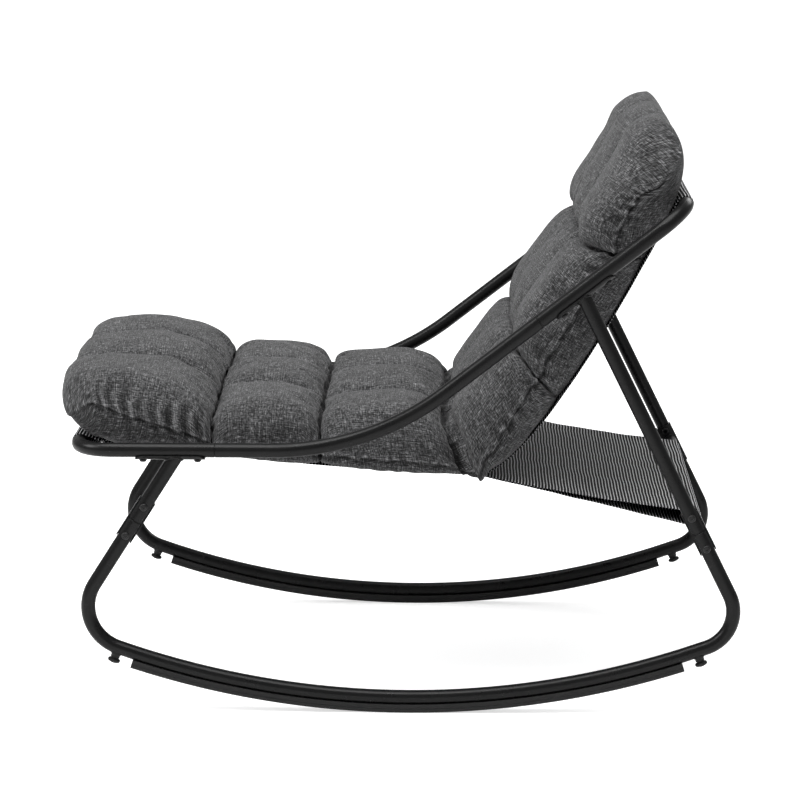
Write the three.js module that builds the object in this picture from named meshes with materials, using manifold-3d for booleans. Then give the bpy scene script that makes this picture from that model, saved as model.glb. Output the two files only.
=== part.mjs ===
// Rocking chaise lounge: a steel tube frame on two bent rockers, two woven slings
// and one tufted cushion. Millimetres. +X runs to the rear, +Y to the sitter's right, +Z up.
// The sitter faces -X, so "left" pieces have negative Y. The frame stands on its rocker pads.

import * as THREE from 'three';
import { mergeVertices } from 'three/addons/utils/BufferGeometryUtils.js';
import Module from 'manifold-3d';

const wasm = await Module();
wasm.setup();

// Gap left between pieces that touch, and how far a cut runs past what it cuts
const clearance = 0.3;
const overrun = 2;

// Frame tube
const tubeRadius = 11;
const tubeWall = 1.2;
const tubeSides = 10;

// Side rails, seen from the side: a level stretch, one long bend and a straight arm
const railHalfSpacing = 318;
const railHeight = 410;
const armRootX = -56;
const armAngle = 37.8;
const armBendRadius = 430;
const armBendSteps = 7;
const frontBarX = -501;
const frontSeamX = -288;
const upperSeamAlongArm = 326;
const topBarAlongArm = 604;
const cornerRadius = 55;
const cornerSteps = 5;
const plugLength = 46;
const plugCollar = 6;

// Rockers: a long arc, a bend at each end and a straight run up to each leg
const rockerRadius = 1345;
const rockerLowX = 3;
const rockerFlats = 17;
const padHalfAngle = 18.42;
const padDepth = 12;
const padHalfWidth = 10.5;
const padSeatRise = 1.5;
const padChamfer = 2.5;
const padSeatSteps = 4;
const frontBendRadius = 68;
const rearBendRadius = 60;
const rockerBendSteps = 6;

// Legs: each runs from its rocker bend to the rail, and its upper piece has the length given here
const frontBendAngle = 19.6;
const frontLegLength = 129.4;
const frontLegPastSaddle = 14.7;
const rearBendAngle = 20.3;
const rearLegLength = 413.5;

// Saddle plates that carry the rails on the legs, and their bolts
const saddleLength = 106;
const saddleThickness = 3;
const saddleHalfAngle = 55;
const saddleSteps = 6;
const saddleFaces = 24;
const saddleBoltSpacing = 83;
const frontSaddleFromSeam = 68;
const rearSaddleFromSeam = 77;

// Screws and nuts
const boltRadius = 3;
const boltHeadRadius = 5.6;
const boltHeadHeight = 3.3;
const boltHeadCrown = 1.2;
const socketRadius = 2.2;
const socketDepth = 2;
const screwHeadRadius = 6;
const nutRadius = 5.8;
const nutHeight = 5;
const fastenerSides = 8;
const insertRadius = 4.5;
const insertCollarRadius = 6.2;
const insertCollarHeight = 3;

// Channels that join each leg to its rocker tube, and the rear crossbar between them
const channelLength = 70;
const channelThickness = 2;
const channelFlangeHeight = 12;
const channelScrewSpacing = 53;
const crossbarAboveJoint = 7;
const drainRadius = 4;

// Stopper feet at both ends of each rocker
const stopperArcAngle = 19.6;
const bossRadius = 7;
const bossFootRadius = 8.5;
const bossLength = 5.5;
const stopperRadius = 9.5;
const stopperNeckRadius = 5.5;
const stopperHeight = 7;
const stopperRestGap = 1;
const studRadius = 3;
const studLength = 17;
const stopperSides = 14;

// Woven slings
const slingSideGap = 49;
const slingHalfWidth = railHalfSpacing - tubeRadius - slingSideGap;
const slingThickness = 1.2;
const sleeveLap = 42;
const seatPullX = -250;
const seatPullDrop = 36;
const foldX = 115;
const foldDrop = 50;
const backPullX = 208;
const backPullDrop = 25;
const loopSag = 5;
const loopSteps = 4;
const slingSteps = 8;
const wrapSteps = 6;

// Tufted cushion: its front lip hangs past the front bar and its head stands over the top bar
const cushionSideGap = 26;
const cushionHalfWidth = railHalfSpacing - tubeRadius - cushionSideGap;
const cushionThickness = 118;
const lipOverhang = 33;
const lipRise = 64;
const lipPullOverhang = 29;
const lipPullRise = 26;
const headSetBack = 37;
const headRise = 126;
const headPullSetBack = 31;
const headPullRise = 82;
const sideDraw = 12;
const sideRound = 70;
const undersideRound = 41;

// Where each stretch of the cushion lies: from row to row, on which line and between which shares
const cushionRunShares = [
  { from: 0, to: 0.14, line: 'lip', shares: [0, 0.5] },
  { from: 0.14, to: 0.28, line: 'lip', shares: [0.5, 1] },
  { from: 0.28, to: 1, line: 'seat', shares: [0.035, 0.33] },
  { from: 1, to: 2, line: 'seat', shares: [0.33, 0.6] },
  { from: 2, to: 3, line: 'seat', shares: [0.6, 0.965] },
  { from: 3, to: 4, line: 'back', shares: [0, 0.32] },
  { from: 4, to: 5, line: 'back', shares: [0.32, 0.8] },
  { from: 5, to: 5.15, line: 'back', shares: [0.8, 0.9] },
  { from: 5.15, to: 6, line: 'head', shares: [0, 1] },
];

// Lean of the cushion's thickness at chosen rows, in degrees from the front-to-rear axis
const ribAngles = [[0, 92], [1, 90], [2, 91], [3, 104], [4, 130], [5, 168], [5.75, 172], [6, 190]];

// Thickness at the grooves, and each row's bulge above them, as shares of the full thickness
const grooveShares = [0.05, 0.54, 0.58, 0.78, 0.86, 0.8, 0.06];
const bulgeShares = [0.75, 0.31, 0.22, 0.22, 0.16, 0.78];
const bulgeSkewShares = [0.62, 1, 0.9, 1, 1, 2.1];
const columnCount = 3;
const columnGrooveShare = 0.16;
const seamHeightShare = 0.33;
const endTaperShare = 0.3;
const endTaperRiseShare = 0.4;
const pillowFullShare = 2.4;
const cornerTuckShare = 0.1;
const rowSteps = 6;
const columnSteps = 6;
const sideSteps = 3;
const bottomSteps = 5;

const degrees = Math.PI / 180;
const up = new THREE.Vector3(0, 0, 1);
const across = new THREE.Vector3(0, 1, 0);

// Finishes
const frameFinish = { color: 0x262627, roughness: 0.42, metalness: 0.35 };
const screwFinish = { color: 0x202021, roughness: 0.38, metalness: 0.6 };
const rubberFinish = { color: 0x1b1b1b, roughness: 0.75, metalness: 0 };
const slingFinish = { color: 0x4a4a4a, roughness: 0.8, metalness: 0 };
const cushionFinish = { color: 0x4c4c4d, roughness: 0.95, metalness: 0 };

const object = new THREE.Group();

function addPiece(name, geometry, finish, parent = object) {
  const mesh = new THREE.Mesh(geometry, new THREE.MeshStandardMaterial(finish));
  mesh.name = name;
  parent.add(mesh);
  return mesh;
}

// Joins and cuts
function toSolid(geometry) {
  const bare = geometry.clone();
  bare.deleteAttribute('normal');
  bare.deleteAttribute('uv');
  const merged = mergeVertices(bare);
  return new wasm.Manifold(new wasm.Mesh({
    numProp: 3,
    vertProperties: new Float32Array(merged.attributes.position.array),
    triVerts: new Uint32Array(merged.index.array),
  }));
}

function toGeometry(solid) {
  const mesh = solid.getMesh();
  const geometry = new THREE.BufferGeometry();
  geometry.setAttribute('position', new THREE.BufferAttribute(mesh.vertProperties, 3));
  geometry.setIndex(new THREE.BufferAttribute(mesh.triVerts, 1));
  geometry.computeVertexNormals();
  return geometry;
}

function join(...geometries) {
  return toGeometry(geometries.map(toSolid).reduce((whole, piece) => whole.add(piece)));
}

function cut(geometry, ...cutters) {
  const solid = cutters.map(toSolid).reduce((whole, piece) => whole.subtract(piece), toSolid(geometry));
  return toGeometry(solid);
}

// A path through chosen stations, each a point and the direction of travel there
class StationPath extends THREE.Curve {
  constructor(stations) {
    super();
    this.stations = stations;
  }

  station(share) {
    return this.stations[Math.round(share * (this.stations.length - 1))];
  }

  getPointAt(share, target = new THREE.Vector3()) {
    return target.copy(this.station(share).point);
  }

  getTangentAt(share, target = new THREE.Vector3()) {
    return target.copy(this.station(share).direction);
  }
}

function extrudeAlong(shape, stations) {
  return new THREE.ExtrudeGeometry(shape, {
    steps: stations.length - 1,
    extrudePath: new StationPath(stations),
  });
}

// Stations of a line through corner points, with a round bend at each inner corner
function bentStations(corners, radius, steps) {
  const first = corners[0];
  const stations = [{ point: first, direction: corners[1].clone().sub(first).normalize() }];
  for (let i = 1; i < corners.length - 1; i += 1) {
    const before = corners[i].clone().sub(corners[i - 1]).normalize();
    const after = corners[i + 1].clone().sub(corners[i]).normalize();
    const turn = before.angleTo(after);
    const axis = before.clone().cross(after).normalize();
    const start = corners[i].clone().addScaledVector(before, -radius * Math.tan(turn / 2));
    const inward = axis.clone().cross(before);
    const centre = start.clone().addScaledVector(inward, radius);
    for (let k = 0; k <= steps; k += 1) {
      const spoke = inward.clone().negate().applyAxisAngle(axis, (turn * k) / steps);
      stations.push({
        point: centre.clone().addScaledVector(spoke, radius),
        direction: axis.clone().cross(spoke).normalize(),
      });
    }
  }
  const last = corners[corners.length - 1];
  stations.push({
    point: last,
    direction: last.clone().sub(corners[corners.length - 2]).normalize(),
  });
  return stations;
}

// Stations of an arc in the side plane, between two angles measured from straight down
function arcStations(centre, radius, fromAngle, toAngle, steps) {
  const stations = [];
  for (let k = 0; k <= steps; k += 1) {
    const angle = (fromAngle + ((toAngle - fromAngle) * k) / steps) * degrees;
    stations.push({
      point: new THREE.Vector3(
        centre.x + radius * Math.sin(angle),
        0,
        centre.z - radius * Math.cos(angle),
      ),
      direction: new THREE.Vector3(Math.cos(angle), 0, Math.sin(angle)),
    });
  }
  return stations;
}

function ring(radius, sides) {
  const points = [];
  for (let k = 0; k < sides; k += 1) {
    const angle = ((k + 0.5) * 2 * Math.PI) / sides;
    points.push(new THREE.Vector2(radius * Math.cos(angle), radius * Math.sin(angle)));
  }
  return points;
}

function ringShape(outerRadius, innerRadius, sides) {
  const shape = new THREE.Shape(ring(outerRadius, sides));
  shape.holes.push(new THREE.Path(ring(innerRadius, sides)));
  return shape;
}

const tubeShape = ringShape(tubeRadius, tubeRadius - tubeWall, tubeSides);

// A turned piece: its profile closes on the axis or on itself, and it stands on the Z axis
function turned(profile, sides) {
  const points = profile.map(([radius, height]) => new THREE.Vector2(radius, height));
  return new THREE.LatheGeometry(points, sides).rotateX(Math.PI / 2);
}

function rod(radius, from, to, sides = fastenerSides) {
  return new THREE.CylinderGeometry(radius, radius, to - from, sides)
    .rotateX(Math.PI / 2)
    .translate(0, 0, (from + to) / 2);
}

// Turns and places a geometry so that its Z axis runs along a direction from a point
function placed(geometry, point, direction) {
  const turn = new THREE.Quaternion().setFromUnitVectors(up, direction);
  return geometry.clone().applyQuaternion(turn).translate(point.x, point.y, point.z);
}

function direction(angle) {
  return new THREE.Vector3(Math.cos(angle * degrees), 0, Math.sin(angle * degrees));
}

// Places on the rail, in the side plane
const railDirection = new THREE.Vector3(1, 0, 0);
const armDirection = direction(armAngle);
const armRoot = new THREE.Vector3(armRootX, 0, railHeight);
const frontSeam = new THREE.Vector3(frontSeamX, 0, railHeight);
const upperSeam = armRoot.clone().addScaledVector(armDirection, upperSeamAlongArm);
const frontBar = new THREE.Vector3(frontBarX, 0, railHeight);
const topBar = armRoot.clone().addScaledVector(armDirection, topBarAlongArm);

// Places on the legs and rockers, in the side plane
const rockerCentre = new THREE.Vector3(rockerLowX, 0, rockerRadius);
const tubeToPadFace = tubeRadius + padDepth;
const rockerTubeRadius = rockerRadius - tubeToPadFace;

// A leg's line touches its rocker bend and meets the rail at its saddle, or just past the middle of it
function legPlaces({ end, bendAngle, bendRadius, saddle, along, pastSaddle, length }) {
  const arcAngle = end * bendAngle;
  const toBend = direction(arcAngle - 90).multiplyScalar(rockerTubeRadius - bendRadius);
  const bendCentre = toBend.add(rockerCentre);
  const aim = saddle.clone().addScaledVector(along, pastSaddle);
  const reach = aim.clone().sub(bendCentre);
  const lean = Math.asin(bendRadius / reach.length());
  const angle = (Math.atan2(reach.z, reach.x) + end * lean) / degrees;
  const upward = direction(angle);
  const joint = aim.addScaledVector(upward, -length);
  const pathAngle = angle + (end - 1) * 90;
  return { saddle, along, bendCentre, bendRadius, arcAngle, upward, joint, pathAngle };
}

const legs = [
  {
    name: 'front',
    ...legPlaces({
      end: -1,
      bendAngle: frontBendAngle,
      bendRadius: frontBendRadius,
      saddle: frontSeam.clone().addScaledVector(railDirection, -frontSaddleFromSeam),
      along: railDirection,
      pastSaddle: frontLegPastSaddle,
      length: frontLegLength,
    }),
  },
  {
    name: 'rear',
    ...legPlaces({
      end: 1,
      bendAngle: rearBendAngle,
      bendRadius: rearBendRadius,
      saddle: upperSeam.clone().addScaledVector(armDirection, rearSaddleFromSeam),
      along: armDirection,
      pastSaddle: 0,
      length: rearLegLength,
    }),
  },
];

// Direction across a rail or tube, in the side plane, pointing to its upper side
function acrossOf(along) {
  return along.clone().applyAxisAngle(across, -Math.PI / 2);
}

// Boltholes: each saddle bolt enters the rail from below
function saddleBoltPlaces(leg) {
  return [-0.5, 0.5].map((share) => (
    leg.saddle.clone().addScaledVector(leg.along, share * saddleBoltSpacing)
  ));
}

const plugRadius = (tubeRadius - tubeWall) * Math.cos(Math.PI / tubeSides) - clearance;
const plugWall = tubeWall;
const insertHoleRadius = insertRadius + clearance;
const collarSeat = Math.sqrt((plugRadius - plugWall) ** 2 - insertCollarRadius ** 2) - 2 * clearance;

function insertHoles(y) {
  return legs.flatMap((leg) => saddleBoltPlaces(leg).map((place) => {
    const hole = rod(insertHoleRadius, -tubeRadius - overrun, 0, tubeSides);
    return placed(hole, place.clone().setY(y), acrossOf(leg.along));
  }));
}

// Front and back frame tubes: each a U with rounded corners that the side rails plug into
function hoop(seam, bar) {
  const end = seam.clone().addScaledVector(bar.clone().sub(seam).normalize(), clearance);
  const corners = [
    end.clone().setY(-railHalfSpacing),
    bar.clone().setY(-railHalfSpacing),
    bar.clone().setY(railHalfSpacing),
    end.clone().setY(railHalfSpacing),
  ];
  const tube = extrudeAlong(tubeShape, bentStations(corners, cornerRadius, cornerSteps));
  return cut(tube, ...insertHoles(-railHalfSpacing), ...insertHoles(railHalfSpacing));
}

addPiece('front_frame_tube', hoop(frontSeam, frontBar), frameFinish);
addPiece('back_frame_tube', hoop(upperSeam, topBar), frameFinish);

// Side rail: the bent tube and its two reduced plug ends, in the side plane
function sideRail() {
  const tube = extrudeAlong(
    tubeShape,
    bentStations([frontSeam, armRoot, upperSeam], armBendRadius, armBendSteps),
  );
  const collarRadius = tubeRadius - tubeWall / 2;
  const plugProfile = [
    [plugRadius - plugWall, -plugCollar],
    [collarRadius, -plugCollar],
    [collarRadius, -clearance],
    [plugRadius, clearance],
    [plugRadius, plugLength],
    [plugRadius - plugWall, plugLength],
    [plugRadius - plugWall, -plugCollar],
  ];
  const plug = turned(plugProfile, tubeSides);
  const frontPlug = placed(plug, frontSeam, railDirection.clone().negate());
  const upperPlug = placed(plug, upperSeam, armDirection);
  return cut(join(tube, frontPlug, upperPlug), ...insertHoles(0));
}

// Leg: a tube welded to its saddle plate, drilled for the channel screw
function legPiece(leg) {
  const toSaddle = leg.saddle.clone().sub(leg.joint);
  const rise = acrossOf(leg.along);
  const length = toSaddle.dot(rise) / leg.upward.dot(rise);
  const start = leg.joint.clone().addScaledVector(leg.upward, clearance);
  const top = leg.joint.clone().addScaledVector(leg.upward, length);
  const tube = extrudeAlong(tubeShape, [
    { point: start, direction: leg.upward },
    { point: top, direction: leg.upward },
  ]);
  const saddleInner = (tubeRadius + clearance) / Math.cos(Math.PI / saddleFaces);
  const cutRadius = saddleInner + saddleThickness / 2;
  const railCutter = rod(cutRadius, -saddleLength, saddleLength, saddleFaces);
  const trimmed = cut(tube, placed(railCutter, leg.saddle, leg.along));

  const points = [];
  for (let k = 0; k <= saddleSteps; k += 1) {
    const angle = saddleHalfAngle * (1 - (2 * k) / saddleSteps);
    points.push(new THREE.Vector2(0, -1).rotateAround(new THREE.Vector2(), angle * degrees));
  }
  const outline = [
    ...points.map((point) => point.clone().multiplyScalar(saddleInner + saddleThickness)),
    ...points.reverse().map((point) => point.clone().multiplyScalar(saddleInner)),
  ];
  const plate = new THREE.ExtrudeGeometry(new THREE.Shape(outline), {
    depth: saddleLength,
    bevelEnabled: false,
  }).translate(0, 0, -saddleLength / 2);
  const basis = new THREE.Matrix4().makeBasis(leg.along.clone().cross(rise).negate(), rise, leg.along);
  const saddle = plate.applyMatrix4(basis.setPosition(leg.saddle));

  const boltHole = rod(boltRadius + clearance, -2 * tubeRadius, 0);
  const boltHoles = saddleBoltPlaces(leg).map((place) => placed(boltHole, place, rise));
  const screwHole = rod(boltRadius + clearance, -2 * tubeRadius, 2 * tubeRadius);
  const screwPlace = leg.joint.clone().addScaledVector(leg.upward, channelScrewSpacing / 2);
  return cut(join(trimmed, saddle), ...boltHoles, placed(screwHole, screwPlace, across));
}

// Channel: folded from plate around the inner side of leg and rocker tube.
// Its Z axis runs up the leg and its web lies on the +Y side.
const webFace = tubeRadius + clearance;
function channel(holes) {
  const outer = tubeRadius + clearance + channelThickness;
  const outline = [
    [-outer, webFace - channelFlangeHeight],
    [-outer + channelThickness, webFace - channelFlangeHeight],
    [-outer + channelThickness, webFace],
    [outer - channelThickness, webFace],
    [outer - channelThickness, webFace - channelFlangeHeight],
    [outer, webFace - channelFlangeHeight],
    [outer, webFace + channelThickness],
    [-outer, webFace + channelThickness],
  ].map(([x, y]) => new THREE.Vector2(x, y));
  const body = new THREE.ExtrudeGeometry(new THREE.Shape(outline), {
    depth: channelLength,
    bevelEnabled: false,
  }).translate(0, 0, -channelLength / 2);
  return cut(body, ...holes);
}

function channelScrewHoles() {
  const hole = rod(boltRadius + clearance, 0, 3 * tubeRadius);
  return [-0.5, 0.5].map((share) => placed(
    hole,
    new THREE.Vector3(0, 0, share * channelScrewSpacing),
    across,
  ));
}

// Turns a piece made along Z, with its web on +Y, onto a leg of one side of the frame
function onLeg(geometry, leg, side) {
  const webSide = across.clone().multiplyScalar(-side);
  const basis = new THREE.Matrix4().makeBasis(webSide.clone().cross(leg.upward), webSide, leg.upward);
  const place = leg.joint.clone().setY(side * railHalfSpacing);
  return geometry.clone().applyMatrix4(basis.setPosition(place));
}

// Rear crossbar: a tube with a channel welded to each end, and a drain hole through each web
function rearCrossbar() {
  const rear = legs[1];
  const drain = placed(
    rod(drainRadius, 0, 3 * tubeRadius),
    new THREE.Vector3(0, 0, crossbarAboveJoint),
    across,
  );
  const welded = channel(channelScrewHoles());
  const centre = rear.joint.clone().addScaledVector(rear.upward, crossbarAboveJoint);
  const reach = railHalfSpacing - webFace - channelThickness / 2;
  const bar = extrudeAlong(tubeShape, [
    { point: centre.clone().setY(-reach), direction: across },
    { point: centre.clone().setY(reach), direction: across },
  ]);
  const whole = join(bar, onLeg(welded, rear, -1), onLeg(welded, rear, 1));
  return cut(whole, onLeg(drain, rear, -1), onLeg(drain, rear, 1));
}

addPiece('rear_crossbar', rearCrossbar(), frameFinish);

// Rocker tube, in the side plane: leg end, bend, long arc, bend, leg end
function rockerStations() {
  const [front, rear] = legs;
  const steps = rockerBendSteps;
  return [
    {
      point: front.joint.clone().addScaledVector(front.upward, -clearance),
      direction: front.upward.clone().negate(),
    },
    ...arcStations(front.bendCentre, front.bendRadius, front.pathAngle, front.arcAngle, steps),
    ...arcStations(rockerCentre, rockerTubeRadius, -padHalfAngle, padHalfAngle, rockerFlats),
    ...arcStations(rear.bendCentre, rear.bendRadius, rear.arcAngle, rear.pathAngle, steps),
    {
      point: rear.joint.clone().addScaledVector(rear.upward, -clearance),
      direction: rear.upward,
    },
  ];
}

// Stoppers stand square to the rocker arc, just past both ends of the pad
function stopperPlace(end) {
  const angle = end === 'front' ? -stopperArcAngle : stopperArcAngle;
  return arcStations(rockerCentre, rockerTubeRadius, angle, angle, 1)[0].point;
}

function stopperDirection(end) {
  return stopperPlace(end).sub(rockerCentre).normalize();
}

function rockerTube() {
  const tube = extrudeAlong(tubeShape, rockerStations());
  const bore = studRadius + clearance;
  const bossTop = Math.sqrt(tubeRadius ** 2 - bossFootRadius ** 2) - tubeWall;
  const bossProfile = [
    [bore, bossTop],
    [bossFootRadius, bossTop],
    [bossFootRadius, tubeRadius - tubeWall],
    [bossRadius, tubeRadius + tubeWall],
    [bossRadius, tubeRadius + bossLength],
    [bore, tubeRadius + bossLength],
    [bore, bossTop],
  ];
  const boss = turned(bossProfile, stopperSides);
  const stud = rod(bore, bossTop, tubeRadius + bossLength + overrun, stopperSides);
  const ends = ['front', 'rear'];
  const bosses = ends.map((end) => placed(boss, stopperPlace(end), stopperDirection(end)));
  const bores = ends.map((end) => placed(stud, stopperPlace(end), stopperDirection(end)));
  const screwHole = rod(boltRadius + clearance, -2 * tubeRadius, 2 * tubeRadius);
  const screwHoles = legs.map((leg) => placed(
    screwHole,
    leg.joint.clone().addScaledVector(leg.upward, -channelScrewSpacing / 2),
    across,
  ));
  return cut(join(tube, ...bosses), ...bores, ...screwHoles);
}

// Rocker pad: a strip under the arc, with a groove that seats the tube
function rockerPad() {
  const seatRadius = tubeRadius + 1.5 * clearance;
  const lipHeight = tubeRadius - padSeatRise;
  const seatAngle = Math.acos(lipHeight / seatRadius);
  const seat = [];
  for (let k = 0; k <= padSeatSteps; k += 1) {
    const angle = seatAngle * (1 - (2 * k) / padSeatSteps);
    seat.push(new THREE.Vector2(seatRadius * Math.sin(angle), seatRadius * Math.cos(angle)));
  }
  const outline = [
    new THREE.Vector2(padHalfWidth, lipHeight),
    ...seat,
    new THREE.Vector2(-padHalfWidth, lipHeight),
    new THREE.Vector2(-padHalfWidth, tubeToPadFace - padChamfer),
    new THREE.Vector2(-padHalfWidth + padChamfer, tubeToPadFace),
    new THREE.Vector2(padHalfWidth - padChamfer, tubeToPadFace),
    new THREE.Vector2(padHalfWidth, tubeToPadFace - padChamfer),
  ];
  return extrudeAlong(
    new THREE.Shape(outline),
    arcStations(rockerCentre, rockerTubeRadius, -padHalfAngle, padHalfAngle, rockerFlats),
  );
}

// Stopper foot: a disc moulded on a threaded stud, which screws into the boss
function stopperFoot() {
  const top = tubeRadius + bossLength + stopperRestGap;
  const profile = [
    [0, top - studLength],
    [studRadius, top - studLength],
    [studRadius, top],
    [stopperNeckRadius, top],
    [stopperRadius, top + stopperHeight / 3],
    [stopperRadius, top + (2 * stopperHeight) / 3],
    [stopperNeckRadius, top + stopperHeight],
    [0, top + stopperHeight],
  ];
  return turned(profile, stopperSides);
}

// Fasteners: each stands on its Z axis with the underside of its head at zero
function bolt(headRadius, length) {
  const profile = [
    [0, -boltHeadHeight],
    [headRadius - boltHeadCrown, -boltHeadHeight],
    [headRadius, -boltHeadHeight + boltHeadCrown],
    [headRadius, 0],
    [boltRadius, 0],
    [boltRadius, length],
    [0, length],
  ];
  const socket = rod(socketRadius, -boltHeadHeight - overrun, -boltHeadHeight + socketDepth, 6);
  return cut(turned(profile, fastenerSides), socket);
}

function hexNut() {
  const body = rod(nutRadius, 0, nutHeight, 6);
  return cut(body, rod(boltRadius + clearance, -overrun, nutHeight + overrun));
}

// Threaded insert in the rail: its collar bears on the inside of the wall
function railInsert() {
  const bore = boltRadius + clearance;
  const profile = [
    [bore, -tubeRadius + 2 * clearance],
    [insertRadius, -tubeRadius + 2 * clearance],
    [insertRadius, -collarSeat],
    [insertCollarRadius, -collarSeat],
    [insertCollarRadius, insertCollarHeight - collarSeat],
    [bore, insertCollarHeight - collarSeat],
    [bore, -tubeRadius + 2 * clearance],
  ];
  return turned(profile, fastenerSides);
}

function placePiece(name, geometry, finish, parent, point, axis) {
  const mesh = addPiece(name, geometry, finish, parent);
  mesh.position.copy(point);
  mesh.quaternion.setFromUnitVectors(up, axis);
  return mesh;
}

// One side of the frame, built around its own side plane
function addSide(name, side) {
  const group = new THREE.Group();
  group.position.y = side * railHalfSpacing;
  object.add(group);
  addPiece(`side_rail_${name}`, sideRail(), frameFinish, group);
  addPiece(`rocker_tube_${name}`, rockerTube(), frameFinish, group);
  addPiece(`rocker_pad_${name}`, rockerPad(), rubberFinish, group);

  const inner = across.clone().multiplyScalar(-side);
  const saddleFace = (tubeRadius + clearance) / Math.cos(Math.PI / saddleFaces) + saddleThickness;
  const saddleBolt = bolt(boltHeadRadius, saddleFace - clearance);
  const grip = 2 * tubeRadius + 3 * clearance + channelThickness;
  const screw = bolt(screwHeadRadius, grip + nutHeight);
  const nut = hexNut();

  for (const leg of legs) {
    const rise = acrossOf(leg.along);
    addPiece(`${leg.name}_leg_${name}`, legPiece(leg), frameFinish, group);
    if (leg.name === 'front') {
      const plate = channel(channelScrewHoles());
      const mesh = addPiece(`front_channel_${name}`, onLeg(plate, leg, side), frameFinish, group);
      mesh.position.y = -side * railHalfSpacing;
    }
    saddleBoltPlaces(leg).forEach((place, index) => {
      const label = `${leg.name}_${index + 1}_${name}`;
      const head = place.clone().addScaledVector(rise, -saddleFace - clearance);
      placePiece(`saddle_bolt_${label}`, saddleBolt, screwFinish, group, head, rise);
      placePiece(`rail_insert_${label}`, railInsert(), screwFinish, group, place, rise);
    });
    ['upper', 'lower'].forEach((level, index) => {
      const offset = (0.5 - index) * channelScrewSpacing;
      const centre = leg.joint.clone().addScaledVector(leg.upward, offset);
      const head = centre.clone().addScaledVector(inner, -tubeRadius - clearance);
      const nutFace = centre.clone().addScaledVector(inner, webFace + channelThickness + clearance);
      placePiece(`channel_screw_${leg.name}_${level}_${name}`, screw, screwFinish, group, head, inner);
      placePiece(`channel_nut_${leg.name}_${level}_${name}`, nut, screwFinish, group, nutFace, inner);
    });
    const foot = stopperFoot();
    placePiece(
      `stopper_foot_${leg.name}_${name}`,
      foot,
      rubberFinish,
      group,
      stopperPlace(leg.name),
      stopperDirection(leg.name),
    );
  }
}

addSide('left', -1);
addSide('right', 1);

// Slings are drawn in the side plane as lines of (X, Z), then given thickness and width
function point2(vector) {
  return new THREE.Vector2(vector.x, vector.z);
}

const wrapRadius = (tubeRadius + clearance) / Math.cos(Math.PI / (2 * wrapSteps)) + slingThickness / 2;
const layerGap = slingThickness + clearance;
const fold = new THREE.Vector2(foldX, railHeight - foldDrop);
const seatPull = new THREE.Vector2(seatPullX, railHeight - seatPullDrop);
const backPull = new THREE.Vector2(backPullX, railHeight - backPullDrop);

// Angle on a bar's wrap where a line from an outside point touches it
function touchAngle(bar, from, turn) {
  const reach = from.clone().sub(bar);
  return reach.angle() + turn * Math.acos(wrapRadius / reach.length());
}

function onWrap(bar, angle) {
  return bar.clone().add(new THREE.Vector2(Math.cos(angle), Math.sin(angle)).multiplyScalar(wrapRadius));
}

// Points of a wrap round a bar, clockwise from one angle to another
function wrap(bar, fromAngle, toAngle) {
  const turn = (((fromAngle - toAngle) % (2 * Math.PI)) + 2 * Math.PI) % (2 * Math.PI);
  const steps = Math.ceil((turn * wrapSteps) / Math.PI);
  const points = [];
  for (let k = 0; k <= steps; k += 1) {
    points.push(onWrap(bar, fromAngle - (turn * k) / steps));
  }
  return points;
}

// A point beside a curve: offset to the left of its direction
function beside(curve, share, offset) {
  const tangent = curve.getTangent(share);
  return curve.getPoint(share).add(new THREE.Vector2(-tangent.y, tangent.x).multiplyScalar(offset));
}

const frontBar2 = point2(frontBar);
const topBar2 = point2(topBar);
const rearBar2 = point2(legs[1].joint.clone().addScaledVector(legs[1].upward, crossbarAboveJoint));
const seatTouch = touchAngle(frontBar2, seatPull, 1);
const seatLine = new THREE.QuadraticBezierCurve(onWrap(frontBar2, seatTouch), seatPull, fold);
const backTouch = touchAngle(topBar2, backPull, -1);
const backLine = new THREE.QuadraticBezierCurve(fold, backPull, onWrap(topBar2, backTouch));

// A thin closed band along a line, extruded across the chair
function band(line) {
  const half = slingThickness / 2;
  const left = [];
  const right = [];
  line.forEach((point, k) => {
    const before = (k > 0 ? point.clone().sub(line[k - 1]) : line[1].clone().sub(point)).normalize();
    const after = (k < line.length - 1 ? line[k + 1].clone().sub(point) : before.clone()).normalize();
    const tangent = before.clone().add(after).normalize();
    const offset = new THREE.Vector2(-tangent.y, tangent.x).multiplyScalar(half / tangent.dot(before));
    left.push(point.clone().add(offset));
    right.unshift(point.clone().sub(offset));
  });
  return new THREE.ExtrudeGeometry(new THREE.Shape([...right, ...left]), {
    depth: 2 * slingHalfWidth,
    bevelEnabled: false,
  }).translate(0, 0, -slingHalfWidth).rotateX(Math.PI / 2);
}

// Seat sling: sleeve round the front bar, seat, then a loop round the rear crossbar and back
function seatSling() {
  const lapShare = sleeveLap / seatLine.getLength();
  const lap = beside(seatLine, 0.7 * lapShare, -layerGap);
  const lapEnd = beside(seatLine, lapShare, -layerGap);
  const underFold = beside(seatLine, 1, -layerGap);
  const underEnd = beside(seatLine, 1 - lapShare / 4, -layerGap);
  const topTouch = touchAngle(rearBar2, fold, -1);
  const middle = fold.clone().add(onWrap(rearBar2, topTouch)).divideScalar(2);
  const sag = middle.clone().setY(middle.y - 2 * loopSag);
  const upperLayer = new THREE.QuadraticBezierCurve(fold, sag, onWrap(rearBar2, topTouch));
  return band([
    lapEnd,
    ...wrap(frontBar2, touchAngle(frontBar2, lap, -1), seatTouch),
    ...seatLine.getPoints(slingSteps).slice(1),
    ...upperLayer.getPoints(loopSteps).slice(1, -1),
    ...wrap(rearBar2, topTouch, touchAngle(rearBar2, underFold, 1)),
    underFold,
    underEnd,
  ]);
}

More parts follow.
